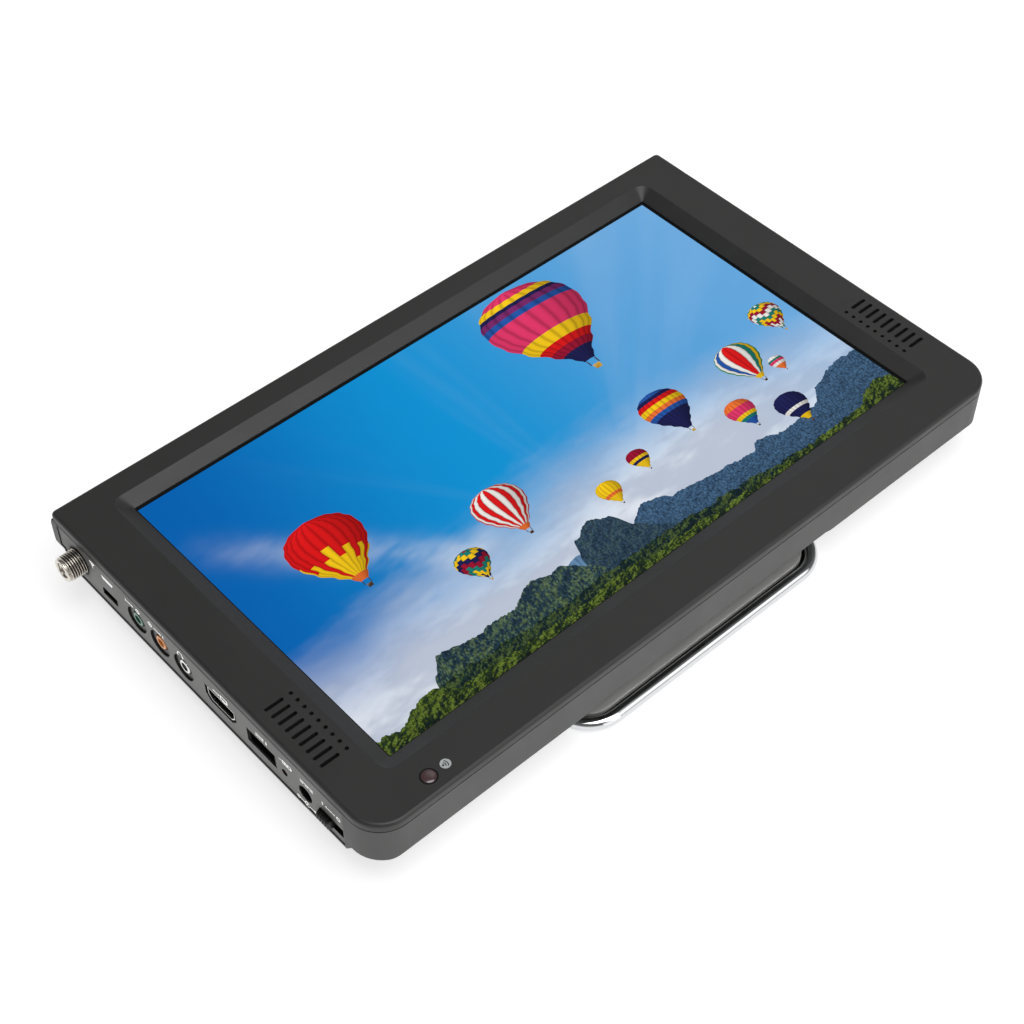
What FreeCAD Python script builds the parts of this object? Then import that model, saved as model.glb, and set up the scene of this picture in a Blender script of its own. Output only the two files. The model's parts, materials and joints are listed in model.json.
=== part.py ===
import FreeCAD, Part
import math
import os

# Portable flat-screen television, lying on its back with the stand folded.
# Units are millimetres.  +X is the viewer's right, +Y the top of the picture,
# +Z points out of the screen.  The origin is on the plane the set rests on,
# under the centre of the front face.

V = FreeCAD.Vector
X_AXIS = V(1, 0, 0)
Y_AXIS = V(0, 1, 0)
Z_AXIS = V(0, 0, 1)

# ---------------------------------------------------------------- driving sizes
# casing
CASE_W = 306.2
FRONT_H = 184.0
FRONT_Z = 34.9
PARTING_Z = 31.0
WALL = 2.0
TOP_CORNER_R = 2.0
BOTTOM_CORNER_R = 13.0
FRONT_EDGE_R = 1.4
PARTING_GROOVE = 0.35
TOP_BULGE = 1.7
TOP_BULGE_Z = 24.0
TOP_FOOT = 0.7
BACK_MID_Z = 9.7
BACK_END_Z = 10.6
LOW_LEDGE_Z = 14.6
LOW_LEDGE_Y = -78.6
LOW_LEDGE_ROUND = 2.0
LOW_STEP_Y = -75.6
TOP_LEDGE_Z = 18.5
TOP_LEDGE_Y = 87.4
TOP_STEP_Y = 84.4
SCOOP_W = 128.0
SCOOP_END = 5.0
SCOOP_Y = -90.5
SCOOP_Z = 17.0

half_w = CASE_W / 2
front_half_h = FRONT_H / 2
inner_x = half_w - WALL

# screen opening and display
SCREEN_W = 256.8
SCREEN_H = 144.6
SCREEN_Y = 3.1
BEZEL_SLOPE = 6.0
BEZEL_SLOPE_R = 5.0
BEZEL_LIP = 8.0
PANEL_W = 268.0
PANEL_H = 157.4
PANEL_Z = (27.6, 30.9)
PANEL_POSTS = [(-90.0, 86.1), (90.0, 86.1), (-90.0, -80.0), (90.0, -80.0)]
PANEL_POST_Z = 27.5
GLASS = (261.0, 150.0, 29.6, 30.95)

# battery housing on the back
HUMP_W = 190.0
HUMP_Y = (-14.0, 76.0)
HUMP_R = 9.0
HUMP_EDGE_R = 2.0
VENT_ROWS = 9
VENT_X = 66.0
VENT_Y0 = 8.0
VENT_PITCH = 6.0
VENT_SLOT = (34.0, 2.0)

# port plate and its openings: (y, z, width, height) or (y, z, radius)
PLATE_Y = (-75.0, 89.0)
PLATE_T = 1.6
PLATE_INSET = 0.3
PLATE_LIP = 2.5
PLATE_TOP_Z = 30.0
PORT_Z = 19.9
COAX = (77.3, 20.6)
COAX_HOLE_R = 5.7
COAX_R = 5.0
COAX_BORE_R = 3.2
COAX_TIP_X = -half_w - 6.7
SLOT_PORT = (58.6, 17.0, 9.4, 4.0)
JACK_YS = {"green": 41.3, "orange": 27.4, "headphone": 13.3}
JACK_RECESS_R = 5.6
JACK_COLLAR_R = 2.9
JACK_SLEEVE_R = 2.4
JACK_BORE_R = 1.8
JACK_BORE_L = 13.0
VIDEO_PORT = (-8.2, 20.0, 17.4, 7.6)
VIDEO_SHELL = (15.2, 5.8, 2.0)
DATA_PORT = (-30.9, 19.4, 15.8, 7.2)
DATA_SHELL = (13.2, 5.7)
SHELL_T = 0.4
SOCKET_FACE_X = -150.7
LAMP = (-43.4, 18.5, 1.5)
POWER_JACK = (-54.5, 18.3, 3.5)
POWER_BORE_R = 3.05
POWER_PIN_R = 0.98
SWITCH_PORT = (-68.1, 17.2, 12.4, 4.6)
SWITCH_TRAVEL = 5.0
KNOB_L = 6.8
KNOB_GAP = 0.3
KNOB_PROUD = 1.9
KNOB_Y1 = SWITCH_PORT[0] + SWITCH_PORT[2] / 2 - KNOB_GAP

# speaker grilles, speakers and remote-control window
GRILLE_X = 144.7
GRILLE_Y = -44.2
GRILLE_PITCH = 3.69
GRILLE_COUNT = 9
GRILLE_SLOT = (7.7, 1.5)
GRILLE_DOT_X = 137.7
GRILLE_DOT_R = 0.75
SPEAKER_X = 143.3
SPEAKER_Z = 32.8
SPEAKER_W = 13.8
SPEAKER_H = 37.0
IR_POS = (-125.0, -85.0)
IR_R = 2.7

# circuit board, its chips (x, y, width, depth, height) and the tuner
BOARD_X = (-148.0, -46.0)
BOARD_Y = (-72.0, 64.0)
BOARD_Z = (13.2, 14.8)
BOARD_NOTCH = (-56.0, 2.0, 62.0)
BOARD_POSTS = [(-60.0, 56.0), (-60.0, -60.0), (-126.0, -66.0), (-126.0, 57.0)]
CHIPS = [
    (-96, 12, 24, 24, 2.0),
    (-74, -18, 14, 10, 1.4),
    (-74, -34, 12, 8, 1.4),
    (-100, -34, 16, 16, 1.6),
    (-66, -50, 9, 7, 2.2),
    (-100, -58, 10, 10, 5.0),
    (-84, -58, 8, 8, 6.0),
    (-114, 36, 12, 9, 1.4),
]
SINK_FINS = 7
SINK_PITCH = 3.9
TUNER = (-147.0, -98.0, 66.0, 81.4, 25.0)
TUNER_T = 0.6

# side keys
KEY_YS = [5.0 + 10.0 * i for i in range(7)]
KEY_NAMES = ["key_volume_down", "key_volume_up", "key_channel_down", "key_channel_up",
             "key_menu", "key_source", "key_standby"]
KEY_SIZE = (7.0, 3.6)
KEY_Z = 20.0
KEY_PROUD = 0.7
KEY_FLANGE_X = (149.7, 150.9)
KEY_BOARD_X = (141.8, 143.2)
KEY_SWITCH_X = 146.8
PLUNGER_TIP_X = 148.6

# battery
CELL_R = 9.1
CELL_Z = 13.2
CELL_YS = [14.0, 33.0, 52.0]
CELL_X = (-24.0, 41.0)
TRAY_POSTS = [(-30.0, 33.0), (47.0, 33.0)]
TRAY_POST_Z = 2.8

# screws: (head radius, head height, shank radius, length under the head)
CASE_SCREW = (2.75, 1.8, 1.4, 9.5)
BOARD_SCREW = (1.9, 1.2, 1.0, 3.6)
TRAY_SCREW = (1.9, 1.2, 1.0, 3.2)
BRACKET_SCREW = (1.9, 1.0, 1.0, 7.2)
PANEL_SCREW = (1.9, 1.1, 0.8, 4.6)
SMALL_PILOT_R = 1.05
SMALL_HOLE_R = 1.2
POST_R = 2.8
CASE_SCREWS = [(-138.5, 50.0), (-138.5, 5.0), (138.5, 52.0), (138.5, -10.0),
               (-118.0, -84.5), (0.0, -84.5), (118.0, -84.5)]
CASE_SEAT_Z = 12.0
LEDGE_SEAT_Z = 18.2

# folding stand
STAND_HALF_W = 61.9
STAND_TIP_Y = -92.5
STAND_CORNER_R = 14.6
STAND_TOP_R = 8.0
STAND_TUBE_R = 2.5
STAND_Z = 2.8
STAND_PLATE_GAP = 1.2
STAND_PLATE_Z = (1.2, 3.9)
STAND_TAB_YS = (-40.0, -66.0)
HINGE_Y = -21.0
HINGE_LUG_X = 40.0
HINGE_LUG_W = 6.0
HINGE_PIN_R = 1.5
PIN_FREE_L = 8.0
RUNNING_GAP = 0.06
BRACKET_BASE_Z = 6.1
BRACKET_SCREWS = [(side * HINGE_LUG_X, HINGE_Y - 9.0) for side in (-1, 1)]
LOOP_END_X = HINGE_LUG_X + HINGE_LUG_W / 2 + 0.7


# ---------------------------------------------------------------- shape helpers
def box(x0, x1, y0, y1, z0, z1):
    """Box between two corners."""
    return Part.makeBox(x1 - x0, y1 - y0, z1 - z0, V(x0, y0, z0))


def rod(radius, start, direction, length):
    """Solid cylinder from a start point along a direction."""
    return Part.makeCylinder(radius, length, V(*start), direction)


def tube(outer, inner, start, direction, length):
    """Cylinder with a through hole."""
    return rod(outer, start, direction, length).cut(rod(inner, start, direction, length))


def polygon_face(points):
    """Flat face from a list of corner points."""
    return Part.Face(Part.makePolygon([V(*p) for p in points + points[:1]]))


def rounded_wire(x0, x1, y0, y1, z, low_r, top_r):
    """Rectangle in the XY plane with one radius below and another above."""
    k = math.sqrt(0.5)

    def arc(cx, cy, r, start, mid, end):
        points = [V(cx + r * a, cy + r * b, z) for a, b in (start, mid, end)]
        return Part.Arc(*points).toShape()

    corners = [
        arc(x0 + low_r, y0 + low_r, low_r, (-1, 0), (-k, -k), (0, -1)),
        arc(x1 - low_r, y0 + low_r, low_r, (0, -1), (k, -k), (1, 0)),
        arc(x1 - top_r, y1 - top_r, top_r, (1, 0), (k, k), (0, 1)),
        arc(x0 + top_r, y1 - top_r, top_r, (0, 1), (-k, k), (-1, 0)),
    ]
    edges = []
    for i, corner in enumerate(corners):
        following = corners[(i + 1) % 4]
        edges.append(corner)
        edges.append(Part.makeLine(corner.lastVertex(True).Point, following.firstVertex(True).Point))
    return Part.Wire(Part.__sortEdges__(edges))


def rounded_block(x0, x1, y0, y1, z0, z1, low_r, top_r=None):
    """Upright block with rounded vertical edges."""
    wire = rounded_wire(x0, x1, y0, y1, z0, low_r, low_r if top_r is None else top_r)
    return Part.Face(wire).extrude(V(0, 0, z1 - z0))


def slot_along_x(cx, cy, length, width, z0, z1):
    """Round-ended slot cutter with its long side along X."""
    reach = (length - width) / 2
    middle = box(cx - reach, cx + reach, cy - width / 2, cy + width / 2, z0, z1)
    ends = [rod(width / 2, (cx + s * reach, cy, z0), Z_AXIS, z1 - z0) for s in (-1, 1)]
    return middle.fuse(ends).removeSplitter()


def side_block(x0, x1, y, z, width, height, radius):
    """Block reaching along X whose outline in the YZ plane has rounded corners."""
    block = rounded_block(-width / 2, width / 2, -height / 2, height / 2, 0, x1 - x0, radius)
    lay_down = FreeCAD.Rotation(X_AXIS, 90)
    face_left = FreeCAD.Rotation(Z_AXIS, 90)
    block.Placement = FreeCAD.Placement(V(x0, y, z), face_left.multiply(lay_down))
    return block


def join(shapes):
    """Fuse a list of touching or overlapping shapes into one solid."""
    result = shapes[0]
    if len(shapes) > 1:
        result = result.fuse(shapes[1:]).removeSplitter()
    return result


def group(shapes):
    """Keep several separate solids together in one node."""
    return Part.makeCompound(shapes)


# ---------------------------------------------------------------- casing
def front_outline(inset, z0, z1):
    """Prism of the front view outline, drawn in by an inset."""
    return rounded_block(-half_w + inset, half_w - inset, -front_half_h + inset, front_half_h - inset,
                         z0, z1, BOTTOM_CORNER_R - inset, max(TOP_CORNER_R - inset, 1.0))


def grille_rows():
    """Heights of the speaker slots."""
    first = GRILLE_Y - GRILLE_PITCH * (GRILLE_COUNT - 1) / 2
    return [first + GRILLE_PITCH * i for i in range(GRILLE_COUNT)]


def on_ledge(y):
    """True for the case screws that sit on the low ledge."""
    return y < LOW_LEDGE_Y


def screw_seat_z(y):
    """Height of the face that a case screw's head pulls on."""
    return LEDGE_SEAT_Z if on_ledge(y) else CASE_SEAT_Z


def make_front_bezel():
    body = front_outline(0, PARTING_Z, FRONT_Z)
    rim = [e for e in body.Edges if e.BoundBox.ZMin > FRONT_Z - 0.01]
    body = body.makeFillet(FRONT_EDGE_R, rim)
    joint = [e for e in body.Edges if e.BoundBox.ZMax < PARTING_Z + 0.01]
    body = body.makeChamfer(PARTING_GROOVE, joint)

    hw = SCREEN_W / 2
    hh = SCREEN_H / 2
    low = rounded_wire(-hw, hw, SCREEN_Y - hh, SCREEN_Y + hh, PARTING_Z + 0.9, 0.5, 0.5)
    s = BEZEL_SLOPE
    high = rounded_wire(-hw - s, hw + s, SCREEN_Y - hh - s, SCREEN_Y + hh + s, FRONT_Z + 0.01,
                        BEZEL_SLOPE_R, BEZEL_SLOPE_R)
    funnel = Part.makeLoft([low, high], True, True)
    window = rounded_block(-hw, hw, SCREEN_Y - hh, SCREEN_Y + hh, PARTING_Z - 1, PARTING_Z + 1, 0.5)

    skin_z = FRONT_Z - WALL
    pocket = front_outline(WALL, PARTING_Z - 1, skin_z)
    lip = rounded_block(-hw - BEZEL_LIP, hw + BEZEL_LIP, SCREEN_Y - hh - BEZEL_LIP + 3,
                        SCREEN_Y + hh + BEZEL_LIP, PARTING_Z - 2, skin_z, 2.0)
    body = body.cut([funnel, window, pocket.cut(lip)])

    holes = []
    for side in (-1, 1):
        for y in grille_rows():
            holes.append(slot_along_x(side * GRILLE_X, y, *GRILLE_SLOT, skin_z - 1, FRONT_Z + 1))
            holes.append(rod(GRILLE_DOT_R, (side * GRILLE_DOT_X, y, skin_z - 1), Z_AXIS, 4))
    holes.append(rod(IR_R, (*IR_POS, skin_z - 1), Z_AXIS, 4))
    body = body.cut(holes)

    posts = []
    pilots = []
    for x, y in CASE_SCREWS:
        foot = screw_seat_z(y) + (1.4 if on_ledge(y) else 2.2)
        posts.append(rod(3.0, (x, y, foot), Z_AXIS, skin_z - foot + 0.2))
        pilots.append(rod(1.45, (x, y, foot - 1), Z_AXIS, 11.0))
    for x, y in PANEL_POSTS:
        posts.append(rod(2.4, (x, y, PANEL_POST_Z), Z_AXIS, skin_z - PANEL_POST_Z + 0.2))
        pilots.append(rod(0.85, (x, y, PANEL_POST_Z - 1), Z_AXIS, 5.0))
    return join([body] + posts).cut(pilots)


def back_profile(inset, x0, x1, top_z):
    """Side view of the rear cover as a prism along X, drawn in by an inset."""
    y_low = -front_half_h + inset
    y_top = front_half_h - inset
    low_ledge = (LOW_LEDGE_Z + inset, LOW_LEDGE_Y + inset * 0.6)
    top_ledge = (TOP_LEDGE_Z + inset, TOP_LEDGE_Y - inset * 0.6)
    low_step = (BACK_END_Z + inset, LOW_STEP_Y + inset)
    top_step = (BACK_END_Z + inset, TOP_STEP_Y - inset)
    mid_y = (low_step[1] + top_step[1]) / 2

    def at(y, z):
        return V(x0, y, z)

    low_round = LOW_LEDGE_ROUND
    bulge = low_round * (1 - math.sqrt(0.5))
    edges = [
        Part.makeLine(at(y_top, top_z), at(y_low, top_z)),
        Part.makeLine(at(y_low, top_z), at(y_low, low_ledge[0] + low_round)),
        Part.Arc(at(y_low, low_ledge[0] + low_round), at(y_low + bulge, low_ledge[0] + bulge),
                 at(y_low + low_round, low_ledge[0])).toShape(),
        Part.makeLine(at(y_low + low_round, low_ledge[0]), at(low_ledge[1], low_ledge[0])),
        Part.makeLine(at(low_ledge[1], low_ledge[0]), at(low_step[1], low_step[0])),
        Part.Arc(at(low_step[1], low_step[0]), at(mid_y, BACK_MID_Z + inset),
                 at(top_step[1], top_step[0])).toShape(),
        Part.makeLine(at(top_step[1], top_step[0]), at(top_ledge[1], top_ledge[0])),
        Part.makeLine(at(top_ledge[1], top_ledge[0]), at(y_top + TOP_FOOT, top_ledge[0])),
        Part.Arc(at(y_top + TOP_FOOT, top_ledge[0]), at(y_top + TOP_BULGE, TOP_BULGE_Z),
                 at(y_top, PARTING_Z)).toShape(),
    ]
    if top_z > PARTING_Z:
        edges.append(Part.makeLine(at(y_top, PARTING_Z), at(y_top, top_z)))
    face = Part.Face(Part.Wire(Part.__sortEdges__(edges)))
    return face.extrude(V(x1 - x0, 0, 0))


def cover_block(inset, top_z):
    """Rear cover as a full block: side view crossed with the outline from the front."""
    outline = rounded_block(-half_w + inset, half_w - inset, -front_half_h + inset,
                            front_half_h + TOP_BULGE + 1 - inset, 0, top_z,
                            BOTTOM_CORNER_R - inset, TOP_CORNER_R)
    return back_profile(inset, -half_w, half_w, top_z).common(outline)


def back_z(y):
    """Height of the bowed back's outer surface."""
    half_chord = (TOP_STEP_Y - LOW_STEP_Y) / 2
    mid_y = (TOP_STEP_Y + LOW_STEP_Y) / 2
    sagitta = BACK_END_Z - BACK_MID_Z
    bow_r = (half_chord ** 2 + sagitta ** 2) / (2 * sagitta)
    return BACK_MID_Z + bow_r - math.sqrt(bow_r ** 2 - (y - mid_y) ** 2)


def hump_block(inset, z0, z1):
    """Raised battery housing on the back."""
    return rounded_block(-HUMP_W / 2 + inset, HUMP_W / 2 - inset, HUMP_Y[0] + inset, HUMP_Y[1] - inset,
                         z0, z1, HUMP_R - inset)


def plate_outline(margin, x0, x1):
    """Port plate outline as a prism along X; margin shrinks it from the casing's rear edge."""
    side = back_profile(1.0 + margin, x0, x1, PARTING_Z)
    limit = box(x0, x1, PLATE_Y[0] + margin, PLATE_Y[1] - margin, 0, PLATE_TOP_Z - margin)
    return side.common(limit)


def video_outline(x0, x1, width, height, corner):
    """Wide socket's outline with its two lower corners cut away, reaching along X."""
    y, z = VIDEO_PORT[:2]
    left, right = y - width / 2, y + width / 2
    low, high = z - height / 2, z + height / 2
    points = [(x0, left, high), (x0, right, high), (x0, right, low + corner),
              (x0, right - corner, low), (x0, left + corner, low), (x0, left, low + corner)]
    return polygon_face(points).extrude(V(x1 - x0, 0, 0))


def port_cutters(x0, x1):
    """Openings of the port plate, as tools along X."""
    tools = [rod(COAX_HOLE_R, (x0, *COAX), X_AXIS, x1 - x0)]
    y, z, width, height = SLOT_PORT
    corners = [(x0, y - width / 2 + 0.9, z - height / 2), (x0, y + width / 2, z - height / 2),
               (x0, y + width / 2, z + height / 2 - 1.2), (x0, y + width / 2 - 1.0, z + height / 2),
               (x0, y - width / 2, z + height / 2), (x0, y - width / 2, z - height / 2 + 1.0)]
    tools.append(polygon_face(corners).extrude(V(x1 - x0, 0, 0)))
    for y in JACK_YS.values():
        tools.append(rod(JACK_COLLAR_R + 0.35, (x0, y, PORT_Z), X_AXIS, x1 - x0))
    tools.append(video_outline(x0, x1, VIDEO_PORT[2], VIDEO_PORT[3], 2.6))
    y, z, width, height = DATA_PORT
    tools.append(box(x0, x1, y - width / 2, y + width / 2, z - height / 2, z + height / 2))
    for y, z, radius in (LAMP, POWER_JACK):
        tools.append(rod(radius, (x0, y, z), X_AXIS, x1 - x0))
    tools.append(switch_slot(x0, x1))
    return tools


def switch_slot(x0, x1):
    """Room for the slide switch's knob over its whole travel."""
    y, z, width, height = SWITCH_PORT
    return box(x0, x1, y - width / 2, y + width / 2, z - height / 2, z + height / 2)


def make_port_plate():
    outer = -half_w + PLATE_INSET
    plate = plate_outline(0.1, outer, outer + PLATE_T)
    recesses = []
    for y in JACK_YS.values():
        recesses.append(rod(JACK_RECESS_R, (outer - 1, y, PORT_Z), X_AXIS, 1 + PLATE_T * 0.55))
    return plate.cut(port_cutters(outer - 1, outer + PLATE_T + 1) + recesses)


def vent_slots():
    """Ventilation slots through the battery housing's rear face."""
    slots = []
    for row in range(VENT_ROWS):
        for side in (-1, 1):
            y = VENT_Y0 + VENT_PITCH * row
            slots.append(slot_along_x(side * VENT_X, y, *VENT_SLOT, -1, WALL + 1))
    return slots


def rear_scoop():
    """Shallow relief in the bottom wall's rear edge, over the stand."""
    half = SCOOP_W / 2
    section = [(-half, SCOOP_Y, 0), (half, SCOOP_Y, 0), (half, SCOOP_Y, SCOOP_Z - 1.5),
               (half - SCOOP_END, SCOOP_Y, SCOOP_Z), (SCOOP_END - half, SCOOP_Y, SCOOP_Z),
               (-half, SCOOP_Y, SCOOP_Z - 1.5)]
    return polygon_face(section).extrude(V(0, -WALL, 0))


def key_holes():
    """Openings for the side keys in the right wall."""
    holes = []
    for y in KEY_YS:
        holes.append(side_block(inner_x - 1, half_w + 1, y, KEY_Z,
                                KEY_SIZE[0] + 0.4, KEY_SIZE[1] + 0.4, 1.4))
    return holes


def make_rear_cover():
    hump = hump_block(0, 0, BACK_END_Z)
    rim = [e for e in hump.Edges if e.BoundBox.ZMax < 0.01]
    hump = hump.makeFillet(HUMP_EDGE_R, rim)
    body = join([cover_block(0, PARTING_Z), hump])
    hollow = cover_block(WALL, PARTING_Z + 1)
    body = body.cut([hollow, hump_block(WALL, WALL, BACK_END_Z + 6)])

    plate_x = -half_w + PLATE_INSET + PLATE_T + 0.05
    seat = plate_outline(0, -half_w - 1, plate_x)
    opening = plate_outline(PLATE_LIP, -half_w - 1, -inner_x + 1)
    mouth = rod(COAX_HOLE_R, (-half_w - 1, *COAX), X_AXIS, WALL + 2)
    knob_room = switch_slot(-half_w - 1, -inner_x + 1)
    body = body.cut([seat, opening, mouth, knob_room, rear_scoop()] + vent_slots() + key_holes())

    bosses = []
    holes = []
    for x, y in CASE_SCREWS:
        seat_z = screw_seat_z(y)
        radius = 4.2 if on_ledge(y) else 4.6
        start = LOW_LEDGE_Z + 0.5 if on_ledge(y) else BACK_MID_Z + 1.5
        bosses.append(rod(radius, (x, y, start), Z_AXIS, seat_z + 1.3 - start))
        holes.append(rod(3.2, (x, y, 0), Z_AXIS, seat_z))
        holes.append(rod(1.7, (x, y, 0), Z_AXIS, seat_z + 5))
    pilots = []
    for x, y in BOARD_POSTS:
        over_hump = abs(x) < HUMP_W / 2 and HUMP_Y[0] < y < HUMP_Y[1]
        floor = WALL - 0.2 if over_hump else back_z(y) + WALL / 2
        bosses.append(rod(POST_R, (x, y, floor), Z_AXIS, BOARD_Z[0] - floor))
        pilots.append(rod(SMALL_PILOT_R, (x, y, BOARD_Z[0] - 2.2), Z_AXIS, 5))
    for x, y in TRAY_POSTS:
        bosses.append(rod(POST_R, (x, y, WALL - 0.2), Z_AXIS, TRAY_POST_Z - WALL + 0.2))
        pilots.append(rod(SMALL_PILOT_R, (x, y, WALL - 1.0), Z_AXIS, 8))
    for x, y in BRACKET_SCREWS:
        pilots.append(rod(SMALL_PILOT_R, (x, y, 0), Z_AXIS, 20))
        bosses.append(rod(POST_R, (x, y, BACK_MID_Z + 1.6), Z_AXIS, 2.6))
    body = join([body] + bosses)
    return body.cut(holes + pilots)


# ---------------------------------------------------------------- display
def centred(width, height, z0, z1, radius=0.6):
    """Block centred on the screen."""
    return rounded_block(-width / 2, width / 2, SCREEN_Y - height / 2, SCREEN_Y + height / 2, z0, z1, radius)


def make_panel_tray():
    tray = centred(PANEL_W, PANEL_H, *PANEL_Z, 1.0)
    pocket = centred(GLASS[0] + 1.0, GLASS[1] + 1.0, PANEL_Z[0] + 0.6, PANEL_Z[1] + 1)
    return tray.cut(pocket)


def make_backlight():
    return centred(GLASS[0], GLASS[1], PANEL_Z[0] + 0.65, GLASS[2] - 0.05)


def make_lcd_glass():
    return centred(*GLASS)


def make_panel_clips():
    clips = []
    for x, y in PANEL_POSTS:
        inner = y - math.copysign(8.0, y)
        y0 = min(inner, y + math.copysign(3.0, y))
        y1 = max(inner, y + math.copysign(3.0, y))
        plate = rounded_block(x - 5, x + 5, y0, y1, PANEL_POST_Z - 0.95, PANEL_POST_Z - 0.05, 1.2)
        clips.append(plate.cut(rod(1.1, (x, y, PANEL_POST_Z - 2), Z_AXIS, 4)))
    return group(clips)


def screw(x, y, head_z, size):
    """Pan head screw with a cross recess, driven towards +Z."""
    head_r, head_h, shank_r, length = size
    head = rod(head_r, (x, y, head_z - head_h), Z_AXIS, head_h)
    rim = [e for e in head.Edges if e.BoundBox.ZMax < head_z - head_h + 0.01]
    head = head.makeFillet(head_h * 0.4, rim)
    arm = head_r * 0.62
    for dx, dy in ((arm, head_r * 0.16), (head_r * 0.16, arm)):
        head = head.cut(box(x - dx, x + dx, y - dy, y + dy, head_z - head_h - 1, head_z - head_h * 0.45))
    return head.fuse(rod(shank_r, (x, y, head_z), Z_AXIS, length))


def make_panel_screws():
    return group([screw(x, y, PANEL_POST_Z - 1.0, PANEL_SCREW) for x, y in PANEL_POSTS])


def make_case_screws():
    return group([screw(x, y, screw_seat_z(y) - 0.02, CASE_SCREW) for x, y in CASE_SCREWS])


# ---------------------------------------------------------------- electronics
def make_main_board():
    board = rounded_block(*BOARD_X, *BOARD_Y, *BOARD_Z, 1.5)
    tools = [rod(SMALL_HOLE_R, (x, y, BOARD_Z[0] - 1), Z_AXIS, 4) for x, y in BOARD_POSTS]
    for x, y in CASE_SCREWS[:2]:
        tools.append(rod(5.0, (x, y, BOARD_Z[0] - 1), Z_AXIS, 4))
    notch_x, notch_y0, notch_y1 = BOARD_NOTCH
    tools.append(rounded_block(notch_x, BOARD_X[1] + 1, notch_y0, notch_y1,
                               BOARD_Z[0] - 1, BOARD_Z[1] + 1, 1.0))
    return board.cut(tools)


def make_board_screws():
    return group([screw_down(x, y, BOARD_Z[1] + 0.03, BOARD_SCREW) for x, y in BOARD_POSTS])


def screw_down(x, y, seat_z, size):
    """Pan head screw driven towards -Z."""
    shape = screw(x, y, 0.0, size)
    shape.rotate(V(x, y, 0), X_AXIS, 180)
    shape.translate(V(0, 0, seat_z))
    return shape


def make_board_chips():
    top = BOARD_Z[1] + 0.02
    chips = []
    for x, y, width, depth, height in CHIPS:
        chips.append(rounded_block(x - width / 2, x + width / 2, y - depth / 2, y + depth / 2,
                                   top, top + height, 0.5))
    return group(chips)


def make_heat_sink():
    """Finned block on top of the largest chip."""
    x, y, width, depth, height = CHIPS[0]
    base_z = BOARD_Z[1] + height + 0.05
    x0, x1 = x - width / 2 - 1, x + width / 2 + 1
    y0, y1 = y - depth / 2 - 1, y + depth / 2 + 1
    base = box(x0, x1, y0, y1, base_z, base_z + 1.4)
    fins = []
    for i in range(SINK_FINS):
        left = x0 + SINK_PITCH * i
        fins.append(box(left, left + 1.2, y0, y1, base_z + 1.3, base_z + 6.5))
    return join([base] + fins)


def make_tuner_can():
    """Shielding can that carries the aerial socket."""
    x0, x1, y0, y1, top = TUNER
    t = TUNER_T
    can = rounded_block(x0, x1, y0, y1, BOARD_Z[1] + 0.02, top, 1.0)
    hollow = rounded_block(x0 + t, x1 - t, y0 + t, y1 - t, BOARD_Z[1] + t, top - t, 0.6)
    hole = rod(4.2, (x0 - 1, *COAX), X_AXIS, 3)
    vents = [rod(1.0, (x0 + 9 + 8 * i, y0 + 4, top - 1), Z_AXIS, 2) for i in range(5)]
    return can.cut([hollow, hole] + vents)


def make_coax_socket():
    y, z = COAX
    barrel = rod(COAX_R, (COAX_TIP_X, y, z), X_AXIS, TUNER[0] - 0.1 - COAX_TIP_X)
    rim = [e for e in barrel.Edges if e.BoundBox.XMax < COAX_TIP_X + 0.01]
    barrel = barrel.makeChamfer(0.5, rim)
    neck = rod(4.1, (TUNER[0] - 0.2, y, z), X_AXIS, 2.0)
    bore = rod(COAX_BORE_R, (COAX_TIP_X - 1, y, z), X_AXIS, 16)
    return join([barrel, neck]).cut(bore)


def make_coax_insulator():
    y, z = COAX
    plug = rod(COAX_BORE_R - 0.02, (COAX_TIP_X + 0.3, y, z), X_AXIS, 13.0)
    return plug.cut(rod(0.9, (COAX_TIP_X - 1, y, z), X_AXIS, 16))


def make_coax_contact():
    y, z = COAX
    return tube(0.85, 0.45, (COAX_TIP_X + 0.9, y, z), X_AXIS, 14.0)


def make_jack_collar(y):
    """Coloured collar round a 3.5 mm socket, ending just below the plate's face."""
    face = -half_w + PLATE_INSET + 0.35
    collar = rod(JACK_COLLAR_R, (face, y, PORT_Z), X_AXIS, -149.8 - face)
    rim = [e for e in collar.Edges if e.BoundBox.XMax < face + 0.01]
    collar = collar.makeFillet(0.4, rim)
    sleeve = rod(JACK_SLEEVE_R, (-149.9, y, PORT_Z), X_AXIS, 11.0)
    return join([collar, sleeve]).cut(rod(JACK_BORE_R, (face - 1, y, PORT_Z), X_AXIS, 1 + JACK_BORE_L))


def make_jack_housings():
    housings = []
    for y in JACK_YS.values():
        shell = box(-149.7, -136.0, y - 3.4, y + 3.4, BOARD_Z[1] + 0.02, PORT_Z + 3.1)
        housings.append(shell.cut(rod(JACK_SLEEVE_R + 0.05, (-150, y, PORT_Z), X_AXIS, 12)))
    return group(housings)


def make_slot_socket_shell():
    y, z, width, height = SLOT_PORT
    outer = side_block(-150.4, -143.5, y, z, width - 1.2, height - 0.6, 0.7)
    inner = side_block(-151.4, -144.2, y, z, width - 2.0, height - 1.4, 0.5)
    return outer.cut(inner)


def make_slot_socket_tongue():
    y, z, width, height = SLOT_PORT
    return box(-150.2, -144.25, y - width / 2 + 2.0, y + width / 2 - 2.0, z - 0.2, z + 0.45)


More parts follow.
